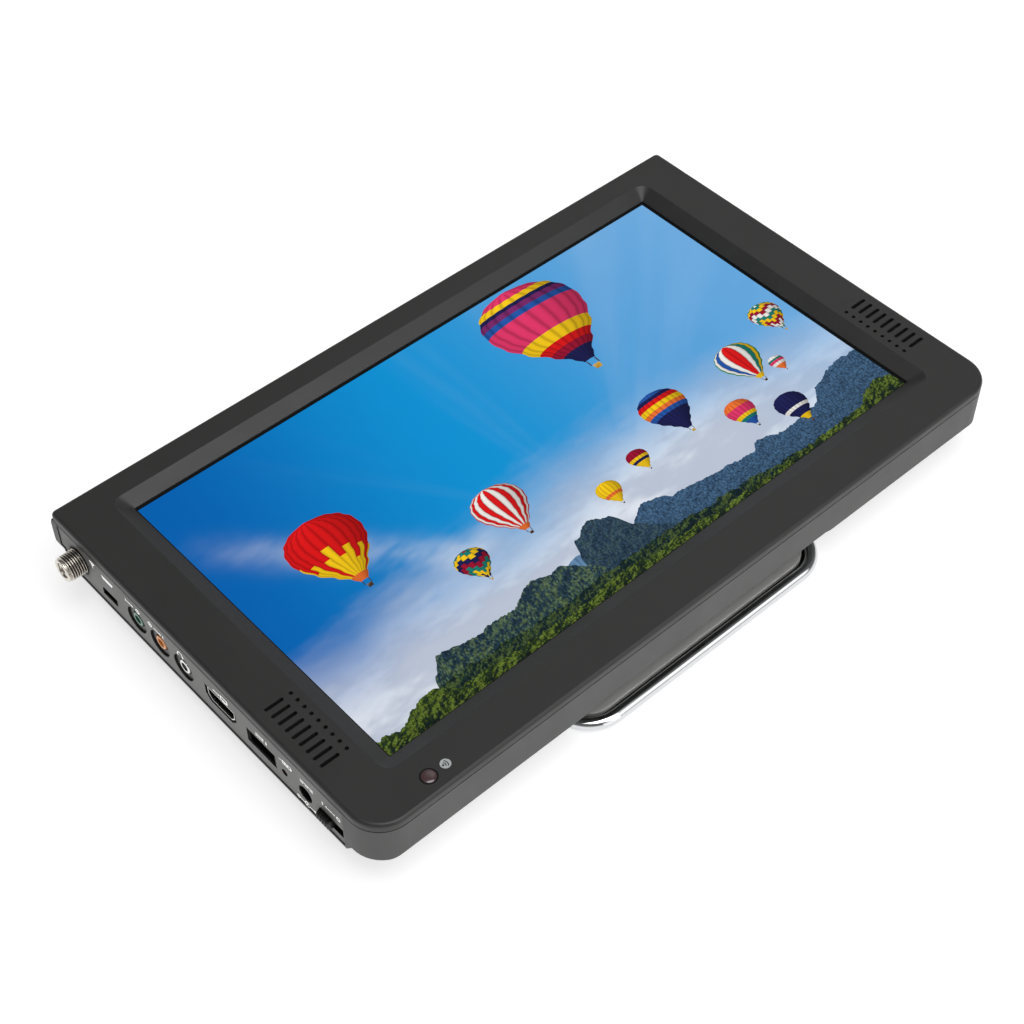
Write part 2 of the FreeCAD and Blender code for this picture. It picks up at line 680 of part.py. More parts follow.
def make_video_socket_shell():
    y, z = VIDEO_PORT[:2]
    width, height, corner = VIDEO_SHELL
    outer = video_outline(SOCKET_FACE_X, -139.5, width, height, corner)
    inner = video_outline(SOCKET_FACE_X - 1, -140.3, width - 2 * SHELL_T, height - 2 * SHELL_T, corner - 0.2)
    feet = []
    for side in (-1, 1):
        foot_y = y + side * (width / 2 - 0.6)
        feet.append(box(-149, -147.6, foot_y - 0.4, foot_y + 0.4, BOARD_Z[1] + 0.02, z + 1.0))
    return join([outer] + feet).cut(inner)


def make_video_socket_tongue():
    y, z = VIDEO_PORT[:2]
    return box(-149.7, -140.35, y - 5.9, y + 5.9, z - 0.4, z + 0.9)


def make_data_socket_shell():
    y, z = DATA_PORT[:2]
    width, height = DATA_SHELL
    outer = side_block(SOCKET_FACE_X, -137.0, y, z, width, height, 0.5)
    inner = side_block(SOCKET_FACE_X - 1, -137.7, y, z, width - 0.7, height - 0.7, 0.3)
    feet = []
    for side in (-1, 1):
        foot_y = y + side * (width / 2 - 0.4)
        feet.append(box(-149, -147.6, foot_y - 0.35, foot_y + 0.35, BOARD_Z[1] + 0.02, z))
    return join([outer] + feet).cut(inner)


def make_data_socket_tongue():
    y, z = DATA_PORT[:2]
    return box(-149.9, -137.75, y - 5.6, y + 5.6, z + 0.3, z + 2.2)


def make_charge_lamp():
    y, z, radius = LAMP
    lamp = rod(radius - 0.15, (-half_w + 0.9, y, z), X_AXIS, 6.0)
    rim = [e for e in lamp.Edges if e.BoundBox.XMax < -half_w + 0.91]
    return lamp.makeFillet(0.7, rim)


def make_power_jack():
    y, z = POWER_JACK[:2]
    shell = box(-150.5, -137.5, y - 4.5, y + 4.5, BOARD_Z[1] + 0.02, z + 4.5)
    return shell.cut(rod(POWER_BORE_R, (-151, y, z), X_AXIS, 11.0))


def make_power_pin():
    y, z = POWER_JACK[:2]
    pin = rod(POWER_PIN_R, (-149.6, y, z), X_AXIS, 9.58)
    rim = [e for e in pin.Edges if e.BoundBox.XMax < -149.59]
    return pin.makeFillet(0.5, rim)


def make_switch_body():
    y, z = SWITCH_PORT[:2]
    shell = box(-149.8, -143.0, y - 6.8, y + 7.0, BOARD_Z[1] + 0.02, z + 3.6)
    slot = box(-150.8, -144.0, KNOB_Y1 - KNOB_L - SWITCH_TRAVEL - 0.25, KNOB_Y1 + 0.25, z - 1.7, z + 1.7)
    return shell.cut(slot)


def make_switch_knob():
    """Ribbed slider; a narrow stem reaches into the switch body."""
    z, height = SWITCH_PORT[1], SWITCH_PORT[3]
    y0 = KNOB_Y1 - KNOB_L
    half_h = height / 2 - 0.25
    face = -half_w - KNOB_PROUD
    head = box(face, -150.3, y0, KNOB_Y1, z - half_h, z + half_h)
    grooves = []
    for i in range(4):
        y_mid = y0 + KNOB_L * (i + 0.5) / 4
        grooves.append(box(face - 1, face + 0.8, y_mid - 0.4, y_mid + 0.4, z - height, z + height))
    stem = box(-150.4, -144.5, y0, KNOB_Y1, z - 1.5, z + 1.5)
    return join([head.cut(grooves), stem])


def make_ir_window():
    x, y = IR_POS
    lens = rod(IR_R - 0.1, (x, y, FRONT_Z - 1.9), Z_AXIS, 1.75)
    flange = rod(IR_R + 1.0, (x, y, FRONT_Z - 2.9), Z_AXIS, 0.85)
    return join([lens, rod(IR_R - 0.1, (x, y, FRONT_Z - 2.9), Z_AXIS, 1.2), flange])


def make_ir_receiver():
    x, y = IR_POS
    can = box(x - 2.6, x + 2.6, y - 3.0, y + 2.6, FRONT_Z - 7.4, FRONT_Z - 4.4)
    dome = Part.makeSphere(1.6, V(x, y, FRONT_Z - 4.7))
    return join([can, dome.common(box(x - 3, x + 3, y - 3, y + 3, FRONT_Z - 4.8, FRONT_Z))])


# ---------------------------------------------------------------- sound
def each_side(shape):
    """The shape and its mirror image about the YZ plane."""
    return group([shape, shape.mirror(V(0, 0, 0), X_AXIS)])


def make_speaker_frames():
    x, y = SPEAKER_X, GRILLE_Y
    half_x, half_y = SPEAKER_W / 2, SPEAKER_H / 2
    rim_x, rim_y = half_x - 1.3, half_y - 1.5
    outer = rounded_block(x - half_x, x + half_x, y - half_y, y + half_y, SPEAKER_Z - 5.0, SPEAKER_Z, 3.0)
    inner = rounded_block(x - rim_x, x + rim_x, y - rim_y, y + rim_y, SPEAKER_Z - 4.0, SPEAKER_Z + 1, 2.4)
    hole = rod(4.2, (x, y, SPEAKER_Z - 6), Z_AXIS, 4)
    return each_side(outer.cut([inner, hole]))


def make_speaker_cones():
    x, y = SPEAKER_X, GRILLE_Y
    rim = rounded_wire(x - 5.4, x + 5.4, y - 16.8, y + 16.8, SPEAKER_Z - 1.0, 2.3, 2.3)
    throat = rounded_wire(x - 3.6, x + 3.6, y - 11.0, y + 11.0, SPEAKER_Z - 3.4, 2.3, 2.3)
    upper = Part.makeLoft([throat, rim], True, True)
    lower = upper.copy()
    lower.translate(V(0, 0, 0.5))
    return each_side(upper.cut(lower))


def make_speaker_magnets():
    x, y = SPEAKER_X, GRILLE_Y
    return each_side(rod(4.1, (x, y, SPEAKER_Z - 7.6), Z_AXIS, 3.9))


# ---------------------------------------------------------------- battery and leads
def make_battery_cells():
    cells = []
    for y in CELL_YS:
        can = rod(CELL_R, (CELL_X[0], y, CELL_Z), X_AXIS, CELL_X[1] - CELL_X[0])
        button = rod(2.8, (CELL_X[1] - 0.1, y, CELL_Z), X_AXIS, 1.1)
        cells.append(can.fuse(button))
    return group(cells)


def make_battery_tray():
    y0 = CELL_YS[0] - 11.5
    y1 = CELL_YS[2] + 11.5
    tray = rounded_block(CELL_X[0] - 11, CELL_X[1] + 11, y0, y1, TRAY_POST_Z + 0.05, 12.0, 2.0)
    well = rounded_block(CELL_X[0] - 1, CELL_X[1] + 2, y0 + 1.5, y1 - 1.5, TRAY_POST_Z + 1.2, 13.0, 1.0)
    ears = [box(CELL_X[0] - 12, CELL_X[0] - 2.5, y0 - 1, y1 + 1, TRAY_POST_Z + 1.6, 13.0),
            box(CELL_X[1] + 3.5, CELL_X[1] + 12, y0 - 1, y1 + 1, TRAY_POST_Z + 1.6, 13.0)]
    holes = [rod(1.2, (x, y, 0), Z_AXIS, 6) for x, y in TRAY_POSTS]
    return tray.cut([well] + ears + holes)


def make_battery_screws():
    return group([screw_down(x, y, TRAY_POST_Z + 1.65, TRAY_SCREW) for x, y in TRAY_POSTS])


def cable(points, radius):
    """Round lead along a smooth curve through points."""
    curve = Part.BSplineCurve()
    curve.interpolate([V(*p) for p in points])
    path = Part.Wire(curve.toShape())
    start = curve.value(curve.FirstParameter)
    tangent = curve.tangent(curve.FirstParameter)[0]
    circle = Part.Wire(Part.Circle(start, tangent, radius).toShape())
    return path.makePipeShell([circle], True, True)


def make_battery_leads():
    leads = []
    for i in range(2):
        y = 64.5 + 2.2 * i
        leads.append(cable([(30.0 + 3 * i, y + 0.5, 17.0), (0.0, y + 1.0, 15.5), (-30.0, y + 0.6, 17.0),
                            (-44.0, 64.0 + 2.2 * i, 18.0), (-52.0, 63.5 + 2.2 * i, 18.0)], 0.8))
    return group(leads)


def make_speaker_leads():
    leads = []
    for side in (-1, 1):
        x = side * (SPEAKER_X - 5.0)
        end = side * 118.0
        leads.append(cable([(x, -66.0, 26.0), (x - side * 6, -75.0, 24.0), (end, -78.0, 23.0),
                            (side * 80.0, -76.5, 23.5), (side * 44.0, -74.0, 24.0)], 0.7))
    return group(leads)


def make_panel_ribbon():
    points = [(-58.0, 22.0, 15.4), (-52.0, 22.0, 15.4), (-44.0, 22.0, 26.9), (-30.0, 22.0, 26.9)]
    upper = [(x, y - 18.0, z + 0.35) for x, y, z in reversed(points)]
    section = [V(x, y - 18.0, z) for x, y, z in points] + [V(*p) for p in upper]
    face = Part.Face(Part.makePolygon(section + section[:1]))
    return face.extrude(V(0, -16.0, 0))


def make_key_ribbon():
    outer = KEY_BOARD_X[0] - 0.02
    section = [(outer, 28.0, 13.0), (outer, 28.0, 24.0), (outer - 0.3, 28.0, 24.0),
               (outer - 0.3, 28.0, 13.3), (100.0, 28.0, 13.3), (100.0, 28.0, 13.0)]
    face = polygon_face(section)
    return face.extrude(V(0, 8.0, 0))


# ---------------------------------------------------------------- side keys
def make_key_board():
    mid_y = (KEY_YS[0] + KEY_YS[-1]) / 2
    length = KEY_YS[-1] - KEY_YS[0] + 14
    board = side_block(*KEY_BOARD_X, mid_y, KEY_Z, length, 13.0, 1.0)
    locating_ys = (KEY_YS[0] - 5, KEY_YS[-1] + 5)
    return board.cut([rod(1.0, (KEY_BOARD_X[0] - 1, y, KEY_Z), X_AXIS, 4) for y in locating_ys])


def make_key_switches():
    switches = []
    for y in KEY_YS:
        can = side_block(KEY_BOARD_X[1] + 0.02, KEY_SWITCH_X, y, KEY_Z, 6.0, 6.0, 0.5)
        start = KEY_SWITCH_X - 0.1
        switches.append(can.fuse(rod(1.6, (start, y, KEY_Z), X_AXIS, PLUNGER_TIP_X - start)))
    return group(switches)


def make_key(y):
    """Key cap with a retaining flange behind the casing wall."""
    cap = side_block(KEY_FLANGE_X[1] - 0.1, half_w + KEY_PROUD, y, KEY_Z, KEY_SIZE[0], KEY_SIZE[1], 1.2)
    rim = [e for e in cap.Edges if e.BoundBox.XMin > half_w + KEY_PROUD - 0.01]
    cap = cap.makeFillet(0.45, rim)
    flange = side_block(*KEY_FLANGE_X, y, KEY_Z, KEY_SIZE[0] + 2.0, KEY_SIZE[1] + 2.0, 1.0)
    return join([cap, flange])


# ---------------------------------------------------------------- stand
def make_stand_loop():
    """Chrome tube: two legs, rounded corners and ends turned in along the hinge axis."""
    r = STAND_CORNER_R
    top_r = STAND_TOP_R
    k = math.sqrt(0.5)
    w = STAND_HALF_W

    def at(x, y):
        return V(x, y, STAND_Z)

    def bend(cx, cy, radius, *directions):
        return Part.Arc(*[at(cx + radius * a, cy + radius * b) for a, b in directions]).toShape()

    edges = [
        Part.makeLine(at(-LOOP_END_X, HINGE_Y), at(-w + top_r, HINGE_Y)),
        bend(-w + top_r, HINGE_Y - top_r, top_r, (0, 1), (-k, k), (-1, 0)),
        Part.makeLine(at(-w, HINGE_Y - top_r), at(-w, STAND_TIP_Y + r)),
        bend(-w + r, STAND_TIP_Y + r, r, (-1, 0), (-k, -k), (0, -1)),
        Part.makeLine(at(-w + r, STAND_TIP_Y), at(w - r, STAND_TIP_Y)),
        bend(w - r, STAND_TIP_Y + r, r, (0, -1), (k, -k), (1, 0)),
        Part.makeLine(at(w, STAND_TIP_Y + r), at(w, HINGE_Y - top_r)),
        bend(w - top_r, HINGE_Y - top_r, top_r, (1, 0), (k, k), (0, 1)),
        Part.makeLine(at(w - top_r, HINGE_Y), at(LOOP_END_X, HINGE_Y)),
    ]
    path = Part.Wire(edges)
    ring = Part.Wire(Part.Circle(at(-LOOP_END_X, HINGE_Y), X_AXIS, STAND_TUBE_R).toShape())
    loop = path.makePipeShell([ring], True, True)
    sockets = []
    for side in (-1, 1):
        start = (side * (LOOP_END_X - 1), HINGE_Y, STAND_Z)
        sockets.append(rod(HINGE_PIN_R, start, V(side, 0, 0), 1 + PIN_FREE_L))
    return loop.cut(sockets)


def make_hinge_pins():
    pins = []
    for side in (-1, 1):
        inner = HINGE_LUG_X - HINGE_LUG_W / 2
        start = (side * inner, HINGE_Y, STAND_Z)
        pins.append(rod(HINGE_PIN_R, start, V(side, 0, 0), LOOP_END_X + PIN_FREE_L - 0.2 - inner))
    return group(pins)


def make_friction_washers():
    washers = []
    for side in (-1, 1):
        start = (side * (HINGE_LUG_X + HINGE_LUG_W / 2 + 0.1), HINGE_Y, STAND_Z)
        washers.append(tube(2.4, HINGE_PIN_R, start, V(side, 0, 0), 0.5))
    return group(washers)


def make_hinge_bracket(side):
    """Foot screwed to the back with a lug that carries one pivot pin."""
    x = side * HINGE_LUG_X
    half = HINGE_LUG_W / 2
    lug = box(x - half, x + half, HINGE_Y - 2.5, HINGE_Y + 2.5, STAND_Z, BRACKET_BASE_Z + 0.5)
    nose = rod(2.5, (x - half, HINGE_Y, STAND_Z), X_AXIS, HINGE_LUG_W)
    foot = rounded_block(x - 5, x + 5, HINGE_Y - 13, HINGE_Y + 3.5,
                         BRACKET_BASE_Z, BACK_MID_Z + 1, 2.0)
    body = join([lug, nose, foot])
    back = back_profile(-0.03, x - 10, x + 10, PARTING_Z)
    bore = rod(HINGE_PIN_R + RUNNING_GAP, (x - 10, HINGE_Y, STAND_Z), X_AXIS, 20)
    hole = rod(1.3, (x, HINGE_Y - 9.0, 0), Z_AXIS, 12)
    return body.cut([back, bore, hole])


def make_bracket_screws():
    return group([screw(x, y, BRACKET_BASE_Z - 0.02, BRACKET_SCREW) for x, y in BRACKET_SCREWS])


def make_stand_plate():
    """Flat plate inside the loop, held to the tube by four tabs."""
    inner = STAND_HALF_W - STAND_TUBE_R - STAND_PLATE_GAP
    y0 = STAND_TIP_Y + STAND_TUBE_R + STAND_PLATE_GAP
    y1 = HINGE_Y - STAND_TUBE_R - STAND_PLATE_GAP
    corner = STAND_CORNER_R - STAND_TUBE_R - STAND_PLATE_GAP
    z0, z1 = STAND_PLATE_Z
    plate = rounded_block(-inner, inner, y0, y1, z0, z1, corner, 5.0)
    rim = [e for e in plate.Edges if e.BoundBox.ZMin > z1 - 0.01]
    plate = plate.makeFillet(0.6, rim)
    slots = []
    for side in (-1, 1):
        x = side * HINGE_LUG_X
        slots.append(rounded_block(x - 6.5, x + 6.5, HINGE_Y - 15, HINGE_Y, z0 - 1, z1 + 1, 2.0))
    plate = plate.cut(slots)
    tabs = []
    for side in (-1, 1):
        for y in STAND_TAB_YS:
            edge = side * (inner - 1)
            reach = side * (STAND_HALF_W - 0.6)
            tabs.append(box(min(edge, reach), max(edge, reach), y - 5, y + 5, z0 + 0.5, z1 - 0.3))
    tube_space = [rod(STAND_TUBE_R + 0.02, (s * STAND_HALF_W, -80, STAND_Z), Y_AXIS, 50) for s in (-1, 1)]
    return join([plate] + tabs).cut(tube_space)


# ---------------------------------------------------------------- write the nodes
nodes = {
    "front_bezel": make_front_bezel(),
    "rear_cover": make_rear_cover(),
    "port_plate": make_port_plate(),
    "case_screws": make_case_screws(),
    "lcd_glass": make_lcd_glass(),
    "backlight_stack": make_backlight(),
    "panel_tray": make_panel_tray(),
    "panel_clips": make_panel_clips(),
    "panel_screws": make_panel_screws(),
    "main_board": make_main_board(),
    "board_screws": make_board_screws(),
    "board_chips": make_board_chips(),
    "heat_sink": make_heat_sink(),
    "tuner_can": make_tuner_can(),
    "coax_socket": make_coax_socket(),
    "coax_insulator": make_coax_insulator(),
    "coax_contact": make_coax_contact(),
    "jack_collar_green": make_jack_collar(JACK_YS["green"]),
    "jack_collar_orange": make_jack_collar(JACK_YS["orange"]),
    "headphone_collar": make_jack_collar(JACK_YS["headphone"]),
    "jack_housings": make_jack_housings(),
    "slot_socket_shell": make_slot_socket_shell(),
    "slot_socket_tongue": make_slot_socket_tongue(),
    "video_socket_shell": make_video_socket_shell(),
    "video_socket_tongue": make_video_socket_tongue(),
    "data_socket_shell": make_data_socket_shell(),
    "data_socket_tongue": make_data_socket_tongue(),
    "charge_lamp": make_charge_lamp(),
    "power_jack": make_power_jack(),
    "power_jack_pin": make_power_pin(),
    "switch_body": make_switch_body(),
    "switch_knob": make_switch_knob(),
    "ir_window": make_ir_window(),
    "ir_receiver": make_ir_receiver(),
    "speaker_frames": make_speaker_frames(),
    "speaker_cones": make_speaker_cones(),
    "speaker_magnets": make_speaker_magnets(),
    "battery_cells": make_battery_cells(),
    "battery_tray": make_battery_tray(),
    "battery_screws": make_battery_screws(),
    "battery_leads": make_battery_leads(),
    "speaker_leads": make_speaker_leads(),
    "panel_ribbon": make_panel_ribbon(),
    "key_ribbon": make_key_ribbon(),
    "key_board": make_key_board(),
    "key_switches": make_key_switches(),
    "stand_loop": make_stand_loop(),
    "stand_plate": make_stand_plate(),
    "hinge_pins": make_hinge_pins(),
    "friction_washers": make_friction_washers(),
    "hinge_bracket_left": make_hinge_bracket(-1),
    "hinge_bracket_right": make_hinge_bracket(1),
    "bracket_screws": make_bracket_screws(),
}
for name, y in zip(KEY_NAMES, KEY_YS):
    nodes[name] = make_key(y)

os.makedirs("parts", exist_ok=True)
for name, shape in nodes.items():
    shape.exportStep("parts/" + name + ".step")
    print(name, len(shape.Solids), "solids,", "valid" if shape.isValid() else "NOT VALID")
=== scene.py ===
import json
import math

import bpy
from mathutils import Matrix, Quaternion, Vector, noise


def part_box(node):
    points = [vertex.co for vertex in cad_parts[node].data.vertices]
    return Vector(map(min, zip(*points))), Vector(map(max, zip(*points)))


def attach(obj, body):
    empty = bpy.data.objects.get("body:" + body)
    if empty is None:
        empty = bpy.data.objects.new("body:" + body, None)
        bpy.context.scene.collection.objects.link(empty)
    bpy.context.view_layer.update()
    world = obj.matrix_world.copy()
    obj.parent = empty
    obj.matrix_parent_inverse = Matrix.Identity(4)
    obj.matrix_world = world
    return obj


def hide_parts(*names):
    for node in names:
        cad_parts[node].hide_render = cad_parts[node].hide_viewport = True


# Looks for the portable television: materials for every CAD node, plus the threaded aerial barrel,
# the ribbed switch knob, printed marks, socket contacts, grille cloth and the picture on the screen.
# Lengths are in metres; MM turns millimetres into metres.

MM = 0.001

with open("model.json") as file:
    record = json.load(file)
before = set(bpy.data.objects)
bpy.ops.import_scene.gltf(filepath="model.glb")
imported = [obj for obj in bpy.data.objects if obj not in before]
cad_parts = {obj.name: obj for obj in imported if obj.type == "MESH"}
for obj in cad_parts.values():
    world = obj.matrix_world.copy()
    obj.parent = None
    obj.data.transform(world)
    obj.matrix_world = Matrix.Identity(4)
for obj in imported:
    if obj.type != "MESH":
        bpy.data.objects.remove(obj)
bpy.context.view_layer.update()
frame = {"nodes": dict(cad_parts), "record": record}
bpy.context.scene.view_settings.view_transform = "Standard"


# ---- shader helpers
def tone(red, green, blue):
    """Display colour, each channel 0 to 1, as the linear colour a shader takes."""
    linear = []
    for c in (red, green, blue):
        linear.append(c / 12.92 if c <= 0.04045 else ((c + 0.055) / 1.055) ** 2.4)
    return (*linear, 1.0)


def shader(tree, kind, settings=None, **inputs):
    """New shader node; inputs are given by name, as values or as sockets to link."""
    made = tree.nodes.new("ShaderNode" + kind)
    for key, value in (settings or {}).items():
        setattr(made, key, value)
    for key, value in inputs.items():
        feed(tree, made.inputs[key.replace("_", " ")], value)
    return made


def feed(tree, socket, value):
    """Link or set one input."""
    if isinstance(value, bpy.types.NodeSocket):
        tree.links.new(value, socket)
    else:
        socket.default_value = value


def arithmetic(tree, operation, first, second):
    """Math node's result."""
    made = tree.nodes.new("ShaderNodeMath")
    made.operation = operation
    feed(tree, made.inputs[0], first)
    feed(tree, made.inputs[1], second)
    return made.outputs[0]


def blend_colours(tree, amount, first, second, mode="MIX"):
    """Colour mix; amount 0 gives the first colour."""
    made = tree.nodes.new("ShaderNodeMix")
    made.data_type = "RGBA"
    made.blend_type = mode
    feed(tree, made.inputs[0], amount)
    feed(tree, made.inputs[6], first)
    feed(tree, made.inputs[7], second)
    return made.outputs[2]


def spread(tree, value, low, high, from_low=0.3, from_high=0.7):
    """Noise value stretched to the range low to high."""
    return shader(tree, "MapRange", Value=value, From_Min=from_low, From_Max=from_high,
                  To_Min=low, To_Max=high).outputs[0]


def noise_value(tree, place, size_mm, detail=3.0, roughness=0.6):
    """Noise with features about size_mm across."""
    return shader(tree, "TexNoise", Vector=place, Scale=1.0 / (size_mm * MM), Detail=detail,
                  Roughness=roughness).outputs["Fac"]


def blank_material(name):
    mat = bpy.data.materials.new(name)
    mat.use_nodes = True
    tree = mat.node_tree
    tree.nodes.clear()
    out = tree.nodes.new("ShaderNodeOutputMaterial")
    bsdf = tree.nodes.new("ShaderNodeBsdfPrincipled")
    tree.links.new(bsdf.outputs[0], out.inputs[0])
    return mat, tree, bsdf


def surface(name, colour, roughness, grain_mm=0.35, grain_depth=0.02, metallic=0.0, variation=0.10,
            edge_mm=0.0, specular=0.5, coat=0.0, stretch=(1, 1, 1), wear=0.05, glow=0.0, painted_shade_mm=0.0):
    """Solid material with grain, slow colour drift and uneven roughness.

    edge_mm rounds the edges in shading only, and painted_shade_mm paints shade into hollows narrower than
    that: the colour goes to black and the reflection weakens there.
    """
    mat, tree, bsdf = blank_material(name)
    place = shader(tree, "TexCoord").outputs["Object"]
    if stretch != (1, 1, 1):
        place = shader(tree, "Mapping", Vector=place, Scale=stretch).outputs[0]
    grain = noise_value(tree, place, grain_mm, detail=4.0)
    drift = noise_value(tree, place, 22.0, detail=3.0)
    rubbed = noise_value(tree, place, 5.0, detail=6.0, roughness=0.75)
    base = (*colour, 1.0)
    dark = (*[c * (1 - variation) for c in colour], 1.0)
    light = (*[min(1.0, c * (1 + variation) + 0.002) for c in colour], 1.0)
    slow = blend_colours(tree, spread(tree, drift, 0.0, 1.0), dark, base)
    fine = blend_colours(tree, spread(tree, grain, 0.0, 0.8), slow, light)
    worn = spread(tree, rubbed, 0.0, 1.0, 0.62, 0.78)
    pale = (*[min(1.0, c * 1.25 + 0.01) for c in colour], 1.0)
    painted = blend_colours(tree, arithmetic(tree, "MULTIPLY", worn, wear * 4), fine, pale)
    # painted shade: ambient occlusion blackens the colour and weakens the reflection in hollows
    if painted_shade_mm:
        openness = shader(tree, "AmbientOcclusion", {"samples": 6},
                          Distance=painted_shade_mm * MM).outputs["AO"]
        hollow_shade = spread(tree, openness, 1.0, 0.0, 0.45, 0.93)
        painted = blend_colours(tree, hollow_shade, painted, (0.0, 0.0, 0.0, 1.0))
        shine = arithmetic(tree, "MULTIPLY", spread(tree, hollow_shade, 1.0, 0.1, 0.0, 1.0), specular)
        feed(tree, bsdf.inputs["Specular IOR Level"], shine)
    feed(tree, bsdf.inputs["Base Color"], painted)
    uneven = spread(tree, drift, -0.05, 0.05)
    rough = arithmetic(tree, "ADD", uneven, roughness)
    rough = arithmetic(tree, "ADD", rough, arithmetic(tree, "MULTIPLY", worn, wear))
    feed(tree, bsdf.inputs["Roughness"], rough)
    bump = shader(tree, "Bump", Height=grain, Strength=0.6, Distance=grain_depth * MM)
    if edge_mm:
        rounded = shader(tree, "Bevel", {"samples": 4}, Radius=edge_mm * MM)
        feed(tree, bump.inputs["Normal"], rounded.outputs[0])
    feed(tree, bsdf.inputs["Normal"], bump.outputs[0])
    bsdf.inputs["Metallic"].default_value = metallic
    if not painted_shade_mm:
        bsdf.inputs["Specular IOR Level"].default_value = specular
    bsdf.inputs["Coat Weight"].default_value = coat
    if glow:
        bsdf.inputs["Emission Color"].default_value = base
        bsdf.inputs["Emission Strength"].default_value = glow
    return mat


def board_material():
    """Green board with a faint pattern of tracks."""
    mat, tree, bsdf = blank_material("board_look")
    place = shader(tree, "TexCoord").outputs["Object"]
    tracks = shader(tree, "TexBrick", Vector=place, Scale=420.0, Mortar_Size=0.035,
                    Color1=(0.02, 0.16, 0.07, 1), Color2=(0.02, 0.13, 0.06, 1),
                    Mortar=(0.05, 0.27, 0.12, 1))
    grain = noise_value(tree, place, 0.6)
    feed(tree, bsdf.inputs["Base Color"], tracks.outputs["Color"])
    feed(tree, bsdf.inputs["Roughness"], spread(tree, grain, 0.3, 0.5))
    bump = shader(tree, "Bump", Height=tracks.outputs["Fac"], Strength=0.4, Distance=0.03 * MM)
    feed(tree, bsdf.inputs["Normal"], bump.outputs[0])
    return mat


def cloth_material():
    """Dark woven dust cloth."""
    mat, tree, bsdf = blank_material("grille_cloth_look")
    place = shader(tree, "TexCoord").outputs["Object"]
    weave = shader(tree, "TexChecker", Vector=place, Scale=2600.0)
    grain = noise_value(tree, place, 0.4)
    colour = blend_colours(tree, weave.outputs["Fac"], (0.004, 0.004, 0.004, 1), (0.012, 0.012, 0.012, 1))
    feed(tree, bsdf.inputs["Base Color"], colour)
    feed(tree, bsdf.inputs["Roughness"], spread(tree, grain, 0.8, 0.95))
    bump = shader(tree, "Bump", Height=weave.outputs["Fac"], Strength=0.5, Distance=0.05 * MM)
    feed(tree, bsdf.inputs["Normal"], bump.outputs[0])
    bsdf.inputs["Specular IOR Level"].default_value = 0.1
    return mat


def picture_material(name, texture_mm, contrast, cells_mm=0.0):
    """Lit picture: painted colours with a little procedural texture under the screen's smooth face."""
    mat, tree, bsdf = blank_material(name)
    place = shader(tree, "TexCoord").outputs["Object"]
    paint = shader(tree, "Attribute", {"attribute_name": "Paint"}).outputs["Color"]
    grain = noise_value(tree, place, texture_mm, detail=6.0, roughness=0.7)
    shade = spread(tree, grain, 1.0 - contrast, 1.0 + contrast)
    if cells_mm:
        cells = shader(tree, "TexVoronoi", Vector=place, Scale=1.0 / (cells_mm * MM)).outputs["Distance"]
        shade = arithmetic(tree, "MULTIPLY", shade, spread(tree, cells, 1.35, 0.45, 0.0, 0.8))
    grey = shader(tree, "CombineColor", Red=shade, Green=shade, Blue=shade).outputs[0]
    lit = blend_colours(tree, 1.0, paint, grey, "MULTIPLY")
    feed(tree, bsdf.inputs["Emission Color"], lit)
    bsdf.inputs["Emission Strength"].default_value = 0.97
    bsdf.inputs["Base Color"].default_value = (0.001, 0.001, 0.001, 1)
    bsdf.inputs["Specular IOR Level"].default_value = 0.03
    feed(tree, bsdf.inputs["Roughness"], spread(tree, grain, 0.22, 0.30))
    return mat


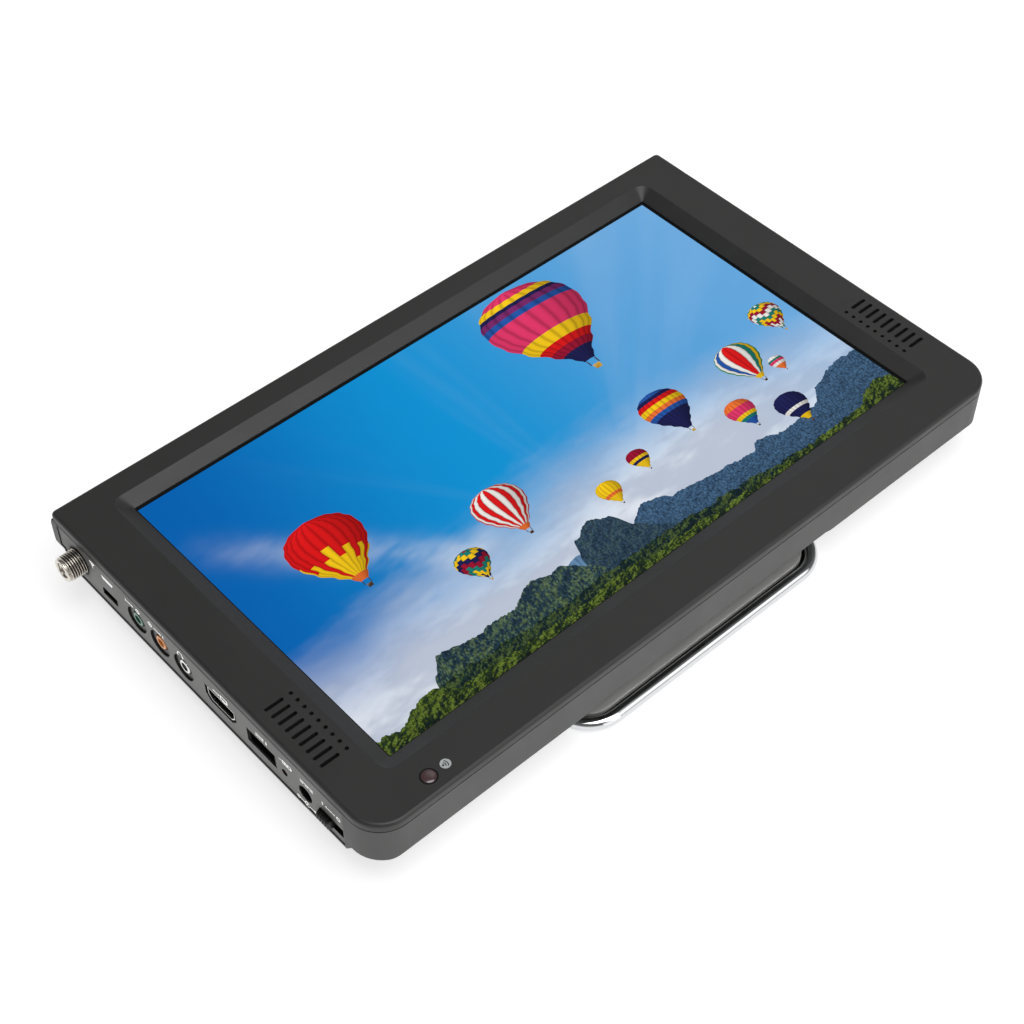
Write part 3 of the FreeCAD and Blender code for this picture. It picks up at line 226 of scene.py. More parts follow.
# ---- materials by the record's slots
# colour, roughness, grain across in mm, grain depth in mm, then what differs from plain plastic
SURFACES = {
    "bezel_plastic": ((0.0195, 0.0197, 0.0190), 0.42, 0.30, 0.012,
                      dict(edge_mm=0.25, specular=0.42, variation=0.12)),
    "cover_plastic": ((0.052, 0.0527, 0.0513), 0.50, 0.32, 0.015, dict(edge_mm=0.25, painted_shade_mm=3.0)),
    "plate_plastic": ((0.115, 0.115, 0.111), 0.45, 0.28, 0.012, dict(edge_mm=0.12, painted_shade_mm=4.0)),
    "screen_glass": ((0.006, 0.006, 0.007), 0.22, 0.5, 0.002, dict(coat=0.3)),
    "backlight": ((0.85, 0.85, 0.86), 0.55, 0.6, 0.01, dict()),
    "steel": ((0.50, 0.51, 0.52), 0.32, 0.5, 0.008, dict(metallic=1.0, stretch=(1, 6, 6), painted_shade_mm=3.0)),
    "screw_steel": ((0.055, 0.055, 0.058), 0.35, 0.3, 0.01, dict(metallic=0.9, edge_mm=0.1)),
    "chips": ((0.02, 0.02, 0.022), 0.55, 0.25, 0.01, dict(edge_mm=0.15)),
    "heat_sink": ((0.28, 0.29, 0.31), 0.42, 0.4, 0.01, dict(metallic=0.9, stretch=(6, 1, 6))),
    "nickel": ((0.70, 0.65, 0.58), 0.27, 0.25, 0.003, dict(metallic=1.0, variation=0.10, painted_shade_mm=0.7)),
    "insulator": ((0.62, 0.57, 0.48), 0.45, 0.3, 0.01, dict(edge_mm=0.1)),
    "gold": ((0.80, 0.60, 0.28), 0.25, 0.3, 0.004, dict(metallic=1.0)),
    "green_collar": ((0.03, 0.15, 0.09), 0.30, 0.3, 0.008, dict(coat=0.4)),
    "orange_collar": ((0.75, 0.27, 0.05), 0.30, 0.3, 0.008, dict(coat=0.4)),
    "silver_collar": ((0.78, 0.78, 0.77), 0.18, 0.3, 0.006, dict(metallic=1.0)),
    "black_plastic": ((0.006, 0.006, 0.0065), 0.34, 0.25, 0.01,
                      dict(edge_mm=0.12, specular=0.35, painted_shade_mm=2.0)),
    "lamp": ((0.55, 0.16, 0.18), 0.20, 0.3, 0.004, dict(coat=0.6, glow=0.2)),
    "ir_plastic": ((0.060, 0.030, 0.033), 0.20, 0.8, 0.004, dict(coat=0.5)),
    "paper": ((0.05, 0.05, 0.05), 0.85, 0.5, 0.05, dict()),
    "magnet": ((0.32, 0.32, 0.33), 0.35, 0.4, 0.01, dict(metallic=1.0, edge_mm=0.2)),
    "cell_wrap": ((0.05, 0.20, 0.42), 0.25, 0.6, 0.01, dict(coat=0.5)),
    "tray_plastic": ((0.03, 0.03, 0.03), 0.5, 0.3, 0.02, dict(edge_mm=0.2)),
    "lead_red": ((0.45, 0.02, 0.02), 0.4, 0.4, 0.01, dict()),
    "lead_black": ((0.02, 0.02, 0.02), 0.4, 0.4, 0.01, dict()),
    "ribbon": ((0.62, 0.42, 0.16), 0.35, 0.5, 0.004, dict(stretch=(1, 8, 1))),
    "chrome": ((0.70, 0.71, 0.72), 0.05, 0.6, 0.0015, dict(metallic=1.0, variation=0.02, wear=0.02)),
    # painted light: the stand's plastic is set pale to offset the shadow the casing casts on the stand plate
    "stand_plastic": ((0.430, 0.428, 0.412), 0.48, 0.3, 0.015, dict(edge_mm=0.3)),
    "key_plastic": ((0.03, 0.03, 0.03), 0.42, 0.28, 0.01, dict(edge_mm=0.1)),
}
looks = {slot: surface(slot + "_look", *values, **extra) for slot, (*values, extra) in SURFACES.items()}
looks["board"] = board_material()
# Painted shade: socket shells, tongues and the power jack get a near-black look in place of their own metal
# and plastic, standing in for the shade inside the openings.
SHADED_SOCKET_NODES = ("slot_socket_shell", "slot_socket_tongue", "data_socket_shell", "data_socket_tongue",
              "video_socket_shell", "video_socket_tongue", "power_jack")
looks["shaded_socket"] = surface("dark_socket_look", (0.0035, 0.0035, 0.004), 0.7, 0.3, 0.01, specular=0.08)
for subpart in frame["record"]["subparts"]:
    node = subpart["node"]
    node_mesh = frame["nodes"][node].data
    node_mesh.materials.clear()
    look = "shaded_socket" if node in SHADED_SOCKET_NODES else subpart["material_slot"]
    node_mesh.materials.append(looks[look])

# painted light: the white print glows a little so the marks stay bright
glowing_white_print = surface("white_print_look", (0.92, 0.92, 0.91), 0.55, 0.15, 0.006, variation=0.12,
                      wear=0.06, glow=0.30)
grey_print = surface("grey_print_look", (0.40, 0.42, 0.43), 0.55, 0.15, 0.006, wear=0.08)
ink = surface("ink_look", (0.03, 0.03, 0.03), 0.5, 0.2, 0.004)
black_trim = surface("black_trim_look", (0.003, 0.003, 0.003), 0.55, 0.25, 0.006, specular=0.12)
cloth = cloth_material()


# ---- mesh helpers
def piece(name, shape, material, body="television", smooth=False):
    """New mesh piece riding on a CAD body; the shape's vertices are in the row frame."""
    mesh = bpy.data.meshes.new(name)
    mesh.from_pydata([tuple(v) for v in shape.vertices], [], shape.faces)
    mesh.validate()
    mesh.materials.append(material)
    if smooth:
        mesh.polygons.foreach_set("use_smooth", [True] * len(mesh.polygons))
    mesh.update()
    obj = bpy.data.objects.new(name, mesh)
    bpy.context.scene.collection.objects.link(obj)
    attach(obj, body)
    return obj


class Solid:
    """Collects vertices and faces of one mesh."""

    def __init__(self, vertices=(), faces=()):
        self.vertices = list(vertices)
        self.faces = list(faces)

    def add(self, points):
        first = len(self.vertices)
        self.vertices.extend(points)
        return list(range(first, first + len(points)))

    def prism(self, outline, placed, low, high):
        """Closed prism of a flat outline; placed(a, b, c) gives the point at depth c."""
        bottom = self.add([placed(a, b, low) for a, b in outline])
        top = self.add([placed(a, b, high) for a, b in outline])
        self.faces.append(top)
        self.faces.append(bottom[::-1])
        for i in range(len(outline)):
            j = (i + 1) % len(outline)
            self.faces.append([bottom[i], bottom[j], top[j], top[i]])

    def rings(self, loops, closed_ends=True):
        """Skin over a series of closed loops of points."""
        indexed = [self.add(loop) for loop in loops]
        for low, high in zip(indexed, indexed[1:]):
            for i in range(len(low)):
                j = (i + 1) % len(low)
                self.faces.append([low[i], low[j], high[j], high[i]])
        if closed_ends:
            self.faces.append(indexed[0][::-1])
            self.faces.append(indexed[-1])


def disc(cx, cy, radius, steps=32):
    """Points of a circle."""
    return [(cx + radius * math.cos(2 * math.pi * i / steps), cy + radius * math.sin(2 * math.pi * i / steps))
            for i in range(steps)]


def grid_faces(columns, rows):
    """Quads of a grid whose points run along each row in turn."""
    return [[k, k + 1, k + columns + 2, k + columns + 1]
            for j in range(rows) for k in range(j * (columns + 1), j * (columns + 1) + columns)]


def node_centre(node):
    low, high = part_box(node)
    return (low + high) / 2


# ---- threaded aerial barrel
# the thread's crests stand a little outside the CAD's plain barrel
BARREL_GROWTH = 1.03
BARREL_REACH = 0.5 * MM


def build_aerial_barrel():
    """Helical thread over the socket's barrel, with a rolled front lip and a recessed face."""
    low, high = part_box("coax_socket")
    centre_y = (low.y + high.y) / 2
    centre_z = (low.z + high.z) / 2
    outer = (high.y - low.y) / 2 * BARREL_GROWTH
    tip = low.x - BARREL_REACH
    back = high.x
    pitch = 0.95 * MM
    depth = 0.62 * MM
    steps = 96
    loops = []

    def ring(x, radius_at):
        loop = []
        for i in range(steps):
            angle = 2 * math.pi * i / steps
            radius = radius_at(angle)
            loop.append((x, centre_y + radius * math.cos(angle), centre_z + radius * math.sin(angle)))
        return loop

    def plain(radius):
        return lambda angle: radius

    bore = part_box("coax_insulator")[1].z - centre_z + 0.02 * MM
    for behind, radius in ((2.0, bore), (0.25, bore), (0.05, bore + 0.15 * MM), (0.0, bore + 0.35 * MM),
                           (0.0, outer - 0.75 * MM), (0.12, outer - 0.5 * MM), (0.45, outer - 0.38 * MM)):
        loops.append(ring(tip + behind * MM, plain(radius)))
    thread_start = tip + 0.75 * MM
    thread_end = tip + 10.5 * MM
    count = int((thread_end - thread_start) / (pitch / 12))
    for k in range(count + 1):
        x = thread_start + (thread_end - thread_start) * k / count
        lead_in = min(1.0, (x - thread_start) / (0.7 * pitch))

        def thread_radius(angle, x=x, lead_in=lead_in):
            phase = (x / pitch - angle / (2 * math.pi)) % 1.0
            crest = min(1.0, max(0.0, 1.45 - abs(phase - 0.5) * 3.6))
            return outer - depth + depth * crest * lead_in
        loops.append(ring(x, thread_radius))
    loops.append(ring(thread_end + 0.2 * MM, plain(outer - depth)))
    loops.append(ring(back, plain(outer - depth)))
    solid = Solid()
    solid.rings(loops, closed_ends=False)
    solid.faces.append(list(range(len(solid.vertices) - steps, len(solid.vertices))))
    barrel = piece("aerial_barrel", solid, looks["nickel"], smooth=True)
    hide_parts("coax_socket")


def build_aerial_face():
    """Crimped petals closing the barrel's front round the insulator."""
    low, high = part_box("coax_socket")
    centre_y = (low.y + high.y) / 2
    centre_z = (low.z + high.z) / 2
    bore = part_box("coax_insulator")[1].z - centre_z
    face_x = low.x + 0.28 * MM
    petals = 10
    solid = Solid()
    for p in range(petals):
        start = 2 * math.pi * (p + 0.04) / petals
        stop = 2 * math.pi * (p + 0.96) / petals
        steps = 6
        outline = []
        for i in range(steps + 1):
            angle = start + (stop - start) * i / steps
            outline.append((bore * math.cos(angle), bore * math.sin(angle)))
        for i in range(steps, -1, -1):
            angle = start + (stop - start) * i / steps
            inner = 1.25 * MM
            outline.append((inner * math.cos(angle), inner * math.sin(angle)))

        def placed(a, b, c):
            reach = math.hypot(a, b) / bore
            return (face_x + c - 0.22 * MM * (1 - reach), centre_y + a, centre_z + b)
        solid.prism(outline, placed, 0.0, -0.14 * MM)
    piece("aerial_face", solid, looks["nickel"])


def build_aerial_grommet():
    """Black ring filling the gap between the barrel and its hole in the port plate: painted shade round the
    barrel.
    """
    low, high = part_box("coax_socket")
    centre_y = (low.y + high.y) / 2
    centre_z = (low.z + high.z) / 2
    inner = (high.y - low.y) / 2 - 0.25 * MM
    outer = (high.y - low.y) / 2 + 1.15 * MM
    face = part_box("port_plate")[0].x
    steps = 64
    profile = [(inner, 1.2), (inner, 0.10), (inner + 0.3 * MM, -0.02), (outer - 0.25 * MM, -0.06),
               (outer, 0.02), (outer, 0.04)]
    solid = Solid()
    solid.rings([[(face + sink * MM, y, z) for y, z in disc(centre_y, centre_z, radius, steps)]
                 for radius, sink in profile], closed_ends=False)
    piece("aerial_shade_ring", solid, black_trim, smooth=True)


# ---- ribbed switch knob
def build_switch_knob():
    """Finger pad with rounded ribs across its travel, on a block that fills the opening."""
    low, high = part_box("switch_knob")
    face = low.x
    head_back = face + 4.2 * MM
    columns = 60
    rows = 14
    ribs = 5
    rib_depth = 0.85 * MM
    half_z = (high.z - low.z) / 2
    centre_z = (low.z + high.z) / 2
    loops = []
    for j in range(rows + 1):
        across = -1 + 2 * j / rows
        z = centre_z + half_z * across
        end_drop = 0.55 * MM * max(0.0, abs(across) - 0.72) / 0.28
        loop = []
        for i in range(columns + 1):
            along = i / columns
            y = low.y + (high.y - low.y) * along
            wave = 0.5 - 0.5 * math.cos(2 * math.pi * ribs * along)
            side = min(along, 1 - along)
            round_end = 0.5 * MM * (1 - min(1.0, side / 0.05)) ** 2
            loop.append((face + rib_depth * (1 - wave) ** 1.6 * 0.9 + end_drop + round_end, y, z))
        loop.append((head_back, high.y, z))
        loop.append((head_back, low.y, z))
        loops.append(loop)
    solid = Solid()
    solid.rings(loops)
    knob = piece("ribbed_knob", solid, looks["black_plastic"], body="switch_knob")
    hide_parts("switch_knob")
    shade_smooth_by_angle(knob)


def shade_smooth_by_angle(obj, degrees=35.0):
    """Smooth faces, keeping edges sharper than the angle."""
    mesh = obj.data
    mesh.polygons.foreach_set("use_smooth", [True] * len(mesh.polygons))
    mesh.set_sharp_from_angle(angle=math.radians(degrees))


def build_stand_gasket():
    """Black strip in the gap between the stand's plate and its tube on three sides: painted shade where the
    floor would show through.
    """
    tube_low, tube_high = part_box("stand_loop")
    tube_width = tube_high.z - tube_low.z
    bend = 14.6 * MM  # bend radius of the tube's centre line
    bend_steps = 16
    gap = 1.2 * MM
    lap = 0.4 * MM
    bite = 0.9 * MM
    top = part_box("stand_plate")[1].y - 16 * MM
    inner_edge = tube_width + gap + lap
    outer_edge = tube_width - bite

    def track(inset):
        """Points down one leg, round the corners and up the other leg, inset from the tube's outside."""
        x0, x1 = tube_low.x + inset, tube_high.x - inset
        y0 = tube_low.y + inset
        radius = bend + tube_width / 2 - inset
        points = [(x0, top), (x0, (top + y0) / 2)]
        for centre_x, start in ((x0 + radius, 1.0), (x1 - radius, 1.5)):
            for i in range(bend_steps + 1):
                angle = start * math.pi + math.pi / 2 * i / bend_steps
                points.append((centre_x + radius * math.cos(angle), y0 + radius + radius * math.sin(angle)))
        return points + [(x1, (top + y0) / 2), (x1, top)]

    rows = [(outer_edge, 1.5), (outer_edge, 2.0), ((outer_edge + inner_edge) / 2, 2.25),
            (inner_edge, 2.0), (inner_edge, 1.5)]
    tracks = [track(inset) for inset, _ in rows]
    solid = Solid()
    solid.rings([[(*tracks[r][k], tube_low.z + rows[r][1] * MM - 0.3 * MM) for r in range(len(rows))]
                 for k in range(len(tracks[0]))])
    piece("stand_gap_shade", solid, black_trim, body="stand")


# ---- flat marks
def bar(x0, y0, x1, y1, width):
    """Straight stroke as an outline."""
    along = Vector((x1 - x0, y1 - y0)).normalized()
    off = Vector((-along.y, along.x)) * width / 2
    return [(x0 - off.x, y0 - off.y), (x1 - off.x, y1 - off.y),
            (x1 + off.x, y1 + off.y), (x0 + off.x, y0 + off.y)]


def arc(cx, cy, radius, width, start=0.0, stop=360.0, steps=20):
    """Curved stroke as a list of outlines."""
    outlines = []
    for i in range(steps):
        a = math.radians(start + (stop - start) * i / steps)
        b = math.radians(start + (stop - start) * (i + 1) / steps)
        inner = radius - width / 2
        outer = radius + width / 2
        outlines.append([(cx + inner * math.cos(a), cy + inner * math.sin(a)),
                         (cx + outer * math.cos(a), cy + outer * math.sin(a)),
                         (cx + outer * math.cos(b), cy + outer * math.sin(b)),
                         (cx + inner * math.cos(b), cy + inner * math.sin(b))])
    return outlines


def arrow(x, y, length, direction, head=0.7, width=0.28):
    """Stroke with a solid head; direction is +1 or -1 along the first axis."""
    tip = x + direction * length / 2
    neck = tip - direction * head
    return [bar(x - direction * length / 2, y, neck, y, width),
            [(neck, y - head * 0.62), (tip, y), (neck, y + head * 0.62)]]


def frame_lines(cx, cy, width, height, line):
    """Rectangle drawn in four strokes."""
    x0, x1, y0, y1 = cx - width / 2, cx + width / 2, cy - height / 2, cy + height / 2
    return [bar(x0, y0, x1, y0, line), bar(x0, y1, x1, y1, line),
            bar(x0, y0 - line / 2, x0, y1 + line / 2, line), bar(x1, y0 - line / 2, x1, y1 + line / 2, line)]


def stamp(name, outlines, placed, material, thickness=0.03):
    """Printed mark: thin closed prisms standing just proud of a surface. Outlines are in millimetres."""
    solid = Solid()
    for outline in outlines:
        scaled = [(a * MM, b * MM) for a, b in outline]
        area = sum(a[0] * b[1] - b[0] * a[1] for a, b in zip(scaled, scaled[1:] + scaled[:1]))
        solid.prism(scaled if area > 0 else scaled[::-1], placed, -0.005 * MM, thickness * MM)
    return piece(name, solid, material)


def build_port_marks():
    """White pictograms beside the sockets; marks run towards the set's bottom, then towards the screen."""
    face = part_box("port_plate")[0].x
    line = 0.48
    marks = []

    def place(node, shift, z, outlines):
        y = node_centre(node).y / MM + shift
        marks.extend([[(-y + a, z + b) for a, b in outline] for outline in outlines])

    place("coax_insulator", -9.9, 26.6, [bar(0, -1.6, 0, 1.5, line), bar(0, -0.1, -1.5, 1.5, line),
                                         bar(0, -0.1, 1.5, 1.5, line), bar(-1.5, 1.5, 1.5, 1.5, line)])
    place("slot_socket_shell", -0.2, 25.5, [[(-3.6, 0.8), (3.6, 0.8), (2.9, -0.8), (-2.9, -0.8)]])
    place("jack_collar_green", 0.8, 26.3, arrow(-2.0, 0, 4.2, 1, 1.0, 0.46) + arc(2.6, 0, 0.95, line)
          + [disc(2.6, 0, 0.35), bar(-4.7, -0.7, -4.7, 0.7, line)])
    place("jack_collar_orange", 1.2, 26.3, arc(-3.4, 0, 0.95, line) + [disc(-3.4, 0, 0.35)]
          + arrow(1.2, 0, 4.6, 1, 1.0, 0.46) + [bar(4.4, -0.7, 4.4, 0.7, line)])
    place("headphone_collar", 0.8, 26.5, arc(0, -0.3, 1.45, line, 0, 180)
          + [bar(-1.45, -1.2, -1.45, -0.2, 0.75), bar(1.45, -1.2, 1.45, -0.2, 0.75)])
    place("video_socket_shell", -0.6, 25.5, frame_lines(2.1, 0.1, 3.6, 1.7, line)
          + arrow(-2.2, 0.1, 4.0, 1, 1.0, 0.46) + [bar(1.0, -1.2, 3.2, -1.2, line)])
    place("data_socket_shell", -0.2, 25.4, arrow(-0.2, 0.5, 4.6, 1, 0.85, 0.40)
          + arrow(-0.6, -0.6, 4.6, -1, 0.85, 0.40) + [bar(3.2, -0.9, 3.2, 0.9, 0.6)])
    place("charge_lamp", -1.3, 24.7, frame_lines(0.6, 0, 4.4, 1.5, 0.42)
          + [bar(3.1, -0.4, 3.1, 0.4, 0.4), bar(-0.9, 0, 0.1, 0, 0.7), bar(0.5, 0, 1.4, 0, 0.7),
             bar(-3.6, 0, -2.2, 0, 0.42)])
    place("power_jack_pin", -1.3, 24.5,
          [bar(-3.4, 0.45, 3.4, 0.45, 0.46), bar(-3.4, -0.45, -1.7, -0.45, 0.46),
           bar(-0.85, -0.45, 0.85, -0.45, 0.46), bar(1.7, -0.45, 3.4, -0.45, 0.46)])
    place("power_jack_pin", -0.35, 12.6,
          [bar(-3.9, 0, -1.2, 0, 0.42), bar(1.2, 0, 3.9, 0, 0.42), disc(0, 0, 0.42)]
          + arc(0, 0, 1.15, 0.40, 35, 325) + arc(-4.6, 0, 0.72, 0.3) + arc(4.6, 0, 0.72, 0.3)
          + [bar(-5.0, 0, -4.2, 0, 0.34), bar(4.2, 0, 5.0, 0, 0.34), bar(4.6, -0.4, 4.6, 0.4, 0.34)])
    place("switch_body", -0.3, 23.9, [bar(-4.2, -0.85, -4.2, 0.85, 0.5)] + arc(4.0, 0, 0.82, 0.46)
          + arrow(-1.4, 0, 3.0, -1, 0.85, 0.40) + arrow(1.2, 0, 2.6, 1, 0.85, 0.40))

    def placed(a, b, c):
        return (face - c, -a, b)
    stamp("port_marks", marks, placed, glowing_white_print)


def build_key_marks():
    """Small generic signs beside the side keys: minus, plus, arrows, lines, ring."""
    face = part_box("rear_cover")[1].x
    line = 0.3
    signs = {
        "key_volume_down": [bar(-0.8, 0, 0.8, 0, line)],
        "key_volume_up": [bar(-0.8, 0, 0.8, 0, line), bar(0, -0.8, 0, 0.8, line)],
        "key_channel_down": [[(-0.8, 0.5), (0.8, 0.5), (0, -0.8)]],
        "key_channel_up": [[(-0.8, -0.5), (0, 0.8), (0.8, -0.5)]],
        "key_menu": [bar(-0.9, height, 0.9, height, 0.26) for height in (0.6, 0, -0.6)],
        "key_source": frame_lines(0.2, 0, 1.8, 1.5, 0.26) + arrow(-0.6, 0, 1.9, 1, 0.5, 0.24),
        "key_standby": arc(0, 0, 0.8, line, 120, 420) + [bar(0, 0.2, 0, 1.1, line)],
    }
    marks = []
    for node, outlines in signs.items():
        y = node_centre(node).y / MM
        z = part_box(node)[1].z / MM + 2.6
        marks.extend([[(y + a, z + b) for a, b in outline] for outline in outlines])

    def placed(a, b, c):
        return (face + c, a, b)
    stamp("key_marks", marks, placed, glowing_white_print)


def build_sensor_trim():
    """Thin black ring round the remote-control window and a small grey printed disc with waves."""
    low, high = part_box("ir_window")
    centre = (low + high) / 2
    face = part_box("front_bezel")[1].z
    lens_r = (high.x - low.x) / 2 - 1.1 * MM
    dome_rise = 0.30 * MM
    loops = []
    steps = 48
    profile = [(lens_r - 0.30 * MM, -0.36), (lens_r - 0.05 * MM, -0.02), (lens_r + 0.10 * MM, 0.05),
               (lens_r + 0.50 * MM, 0.06), (lens_r + 0.62 * MM, -0.05)]
    for radius, rise in profile:
        loops.append([(x, y, face + rise * MM) for x, y in disc(centre.x, centre.y, radius, steps)])
    solid = Solid()
    solid.rings(loops, closed_ends=False)
    piece("sensor_ring", solid, black_trim, smooth=True)
    dome = Solid()
    loops = []
    for k in range(9):
        share = k / 9
        radius = (lens_r + 0.06 * MM) * math.cos(share * math.pi / 2)
        rise = dome_rise * math.sin(share * math.pi / 2) - (0.10 * MM if 0 < k < 4 else 0.0)
        loops.append([(x, y, face + 0.03 * MM + rise) for x, y in disc(centre.x, centre.y, radius, steps)])
    dome.rings(loops, closed_ends=False)
    dome.faces.append(list(range(len(dome.vertices) - steps, len(dome.vertices))))
    piece("sensor_lens", dome, looks["ir_plastic"], smooth=True)

    def placed(a, b, c):
        return (a, b, face + c)
    x = centre.x / MM + 7.1
    y = centre.y / MM + 0.1
    stamp("sensor_disc", [disc(x, y, 1.9)], placed, grey_print, thickness=0.02)
    waves = arc(x - 1.0, y, 0.95, 0.38, -55, 55, 8) + arc(x - 1.0, y, 1.75, 0.38, -46, 46, 8)
    waves += [disc(x - 1.0, y, 0.42, 12)]
    stamp("sensor_waves", waves, placed, ink, thickness=0.035)


def build_grille_cloth():
    """Woven dust cloth stretched behind each speaker grille."""
    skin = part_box("speaker_frames")[1].z + 0.05 * MM
    low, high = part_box("speaker_frames")
    for side, name in ((-1, "left"), (1, "right")):
        x0 = high.x - 16.5 * MM
        x1 = high.x - 0.2 * MM
        y0 = low.y + 1 * MM
        y1 = high.y - 1 * MM
        columns = 24
        rows = 48
        solid = Solid()
        top = []
        for j in range(rows + 1):
            for i in range(columns + 1):
                x = x0 + (x1 - x0) * i / columns
                y = y0 + (y1 - y0) * j / rows
                sag = 0.02 * MM * noise.noise(Vector((x, y, 0)) * 400)
                top.append((side * x, y, skin - 0.02 * MM + sag))
        solid.add(top)
        solid.faces = [quad if side > 0 else quad[::-1] for quad in grid_faces(columns, rows)]
        piece("grille_cloth_" + name, solid, cloth, smooth=True)


def contact_strip(solid, x0, x1, y, z, width, thick):
    """Sprung contact: flat strip along X with a raised, rounded nose at the outer end."""
    loops = []
    steps = 10
    for i in range(steps + 1):
        share = i / steps
        x = x0 + (x1 - x0) * share
        lift = 0.35 * thick * math.sin(math.pi * min(1.0, share * 2.2)) if share < 0.46 else 0.0
        half = width / 2 * (0.75 if share < 0.05 else 1.0)
        loops.append([(x, y - half, z + lift), (x, y + half, z + lift), (x, y + half, z + thick + lift),
                      (x, y - half, z + thick + lift)])
    solid.rings(loops)


# rows of contacts on each tongue: how many, place of the first and spaces across the tongue,
# setback at the front and back, whether they lie under the tongue, width and thickness in millimetres
CONTACTS = {
    "data": [(4, 0.5, 4, 0.4, 0.5, True, 1.1, 0.12)],
    "video": [(10, 0.5, 10, 0.3, 0.5, False, 0.45, 0.10), (9, 1, 10, 0.3, 0.5, True, 0.45, 0.10)],
    "slot": [(5, 0.5, 5, 0.2, 0.4, False, 0.5, 0.08)],
}


def build_contacts():
    """Gold contacts on the socket tongues."""
    for socket, rows in CONTACTS.items():
        low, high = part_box(socket + "_socket_tongue")
        solid = Solid()
        for count, first, spaces, front, back, under, width, thick in rows:
            z = low.z - thick * MM if under else high.z
            for i in range(count):
                y = low.y + (high.y - low.y) * (i + first) / spaces
                contact_strip(solid, low.x + front * MM, high.x - back * MM, y, z, width * MM, thick * MM)
        piece(socket + "_contacts", solid, looks["gold"])


# tongue node, height of the mouth's centre over the tongue's, mouth width and height, corner cut,
# margin to the opening's edge across and upwards; all in millimetres
MOUTHS = {
    "video": ("video_socket_tongue", -0.25, 15.2, 5.8, 2.0, 1.0, 0.8),
    "data": ("data_socket_tongue", -1.25, 13.2, 5.7, 0.2, 1.2, 0.65),
    "slot": ("slot_socket_tongue", -0.125, 8.2, 3.4, 0.2, 0.5, 0.2),
}
MOUTH_SINK = 0.35


def mouth_outline(kind, grow_y=0.0, grow_z=0.0):
    """Mouth of a socket in the YZ plane: a rectangle whose lower corners are cut off."""
    tongue, offset, width, height, cut = MOUTHS[kind][:5]
    centre = node_centre(tongue)
    y0 = centre.y - (width / 2 + grow_y) * MM
    y1 = centre.y + (width / 2 + grow_y) * MM
    z0 = centre.z + (offset - height / 2 - grow_z) * MM
    z1 = centre.z + (offset + height / 2 + grow_z) * MM
    return [(y0 + cut * MM, z0), (y1 - cut * MM, z0), (y1, z0 + cut * MM), (y1, z1), (y0, z1),
            (y0, z0 + cut * MM)]


def build_socket_noses():
    """Near-black liners that fill the port plate's openings round the sockets and line the switch slot:
    painted shade on the hole walls.
    """
    power_outer, power_inner = 3.42, 3.0
    slot_length, slot_half_height = 12.4 * MM, 2.3 * MM
    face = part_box("port_plate")[0].x
    front = face + MOUTH_SINK * MM
    back = face + 2.2 * MM
    solid = Solid()

    def frame_ring(outer, inner, start):
        loops = [[(x, y, z) for y, z in outline]
                 for x, outline in ((back, outer), (start, outer), (start, inner), (back, inner))]
        solid.rings(loops, closed_ends=False)

    for kind, (_, _, _, _, _, margin_y, margin_z) in MOUTHS.items():
        frame_ring(mouth_outline(kind, margin_y, margin_z), mouth_outline(kind), front)
    centre = node_centre("power_jack_pin")
    frame_ring([(centre.y + y * MM, centre.z + z * MM) for y, z in disc(0, 0, power_outer)],
               [(centre.y + y * MM, centre.z + z * MM) for y, z in disc(0, 0, power_inner)], front)
    low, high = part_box("switch_knob")
    end_gap = 0.3 * MM
    wall = 0.1 * MM
    y1 = high.y + end_gap
    y0 = y1 - slot_length
    z0 = (low.z + high.z) / 2 - slot_half_height
    z1 = (low.z + high.z) / 2 + slot_half_height
    frame_ring([(y0, z0), (y1, z0), (y1, z1), (y0, z1)],
               [(y0 + wall, z0 + wall), (y1 - wall, z0 + wall),
                (y1 - wall, z1 - wall), (y0 + wall, z1 - wall)],
               face + 0.05 * MM)
    piece("socket_shade_liners", solid, looks["shaded_socket"])


def build_video_rim():
    """Bright folded lip round the mouth of the video socket."""
    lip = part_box("port_plate")[0].x + (MOUTH_SINK - 0.08) * MM
    loops = []
    for inset, sink in ((0.0, 0.3), (0.0, 0.0), (0.32, 0.0), (0.32, 0.9)):
        loops.append([(lip + sink * MM, y, z) for y, z in mouth_outline("video", -inset, -inset)])
    solid = Solid()
    solid.rings(loops, closed_ends=False)
    piece("video_rim", solid, looks["silver_collar"])


def build_jack_springs():
    """Bent spring contact inside each round socket."""
    solid = Solid()
    for node in ("jack_collar_green", "jack_collar_orange", "headphone_collar"):
        centre = node_centre(node)
        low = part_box(node)[0]
        loops = []
        for i in range(13):
            share = i / 12
            x = low.x + (1.6 + 7.0 * share) * MM
            dip = 0.55 * MM * math.exp(-((share - 0.45) / 0.16) ** 2)
            z = centre.z + 1.62 * MM - dip
            half = 0.45 * MM
            loops.append([(x, centre.y - half, z - 0.1 * MM), (x, centre.y + half, z - 0.1 * MM),
                          (x, centre.y + half, z + 0.05 * MM), (x, centre.y - half, z + 0.05 * MM)])
        solid.rings(loops)
    piece("jack_springs", solid, looks["silver_collar"])


# ---- picture on the screen
MARGIN_X = 2.5 * MM
MARGIN_Y = 3.1 * MM
LAYER = 0.02 * MM
glass_low, glass_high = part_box("lcd_glass")
PICTURE_X0 = glass_low.x + MARGIN_X
PICTURE_W = glass_high.x - glass_low.x - 2 * MARGIN_X
PICTURE_Y0 = glass_low.y + MARGIN_Y
PICTURE_H = glass_high.y - glass_low.y - 2 * MARGIN_Y
ASPECT = PICTURE_H / PICTURE_W


def picture_point(u, v, layer):
    """Point of the picture: u to the right and v upwards, both 0 to 1."""
    return (PICTURE_X0 + PICTURE_W * u, PICTURE_Y0 + PICTURE_H * v, glass_high.z + LAYER * layer)


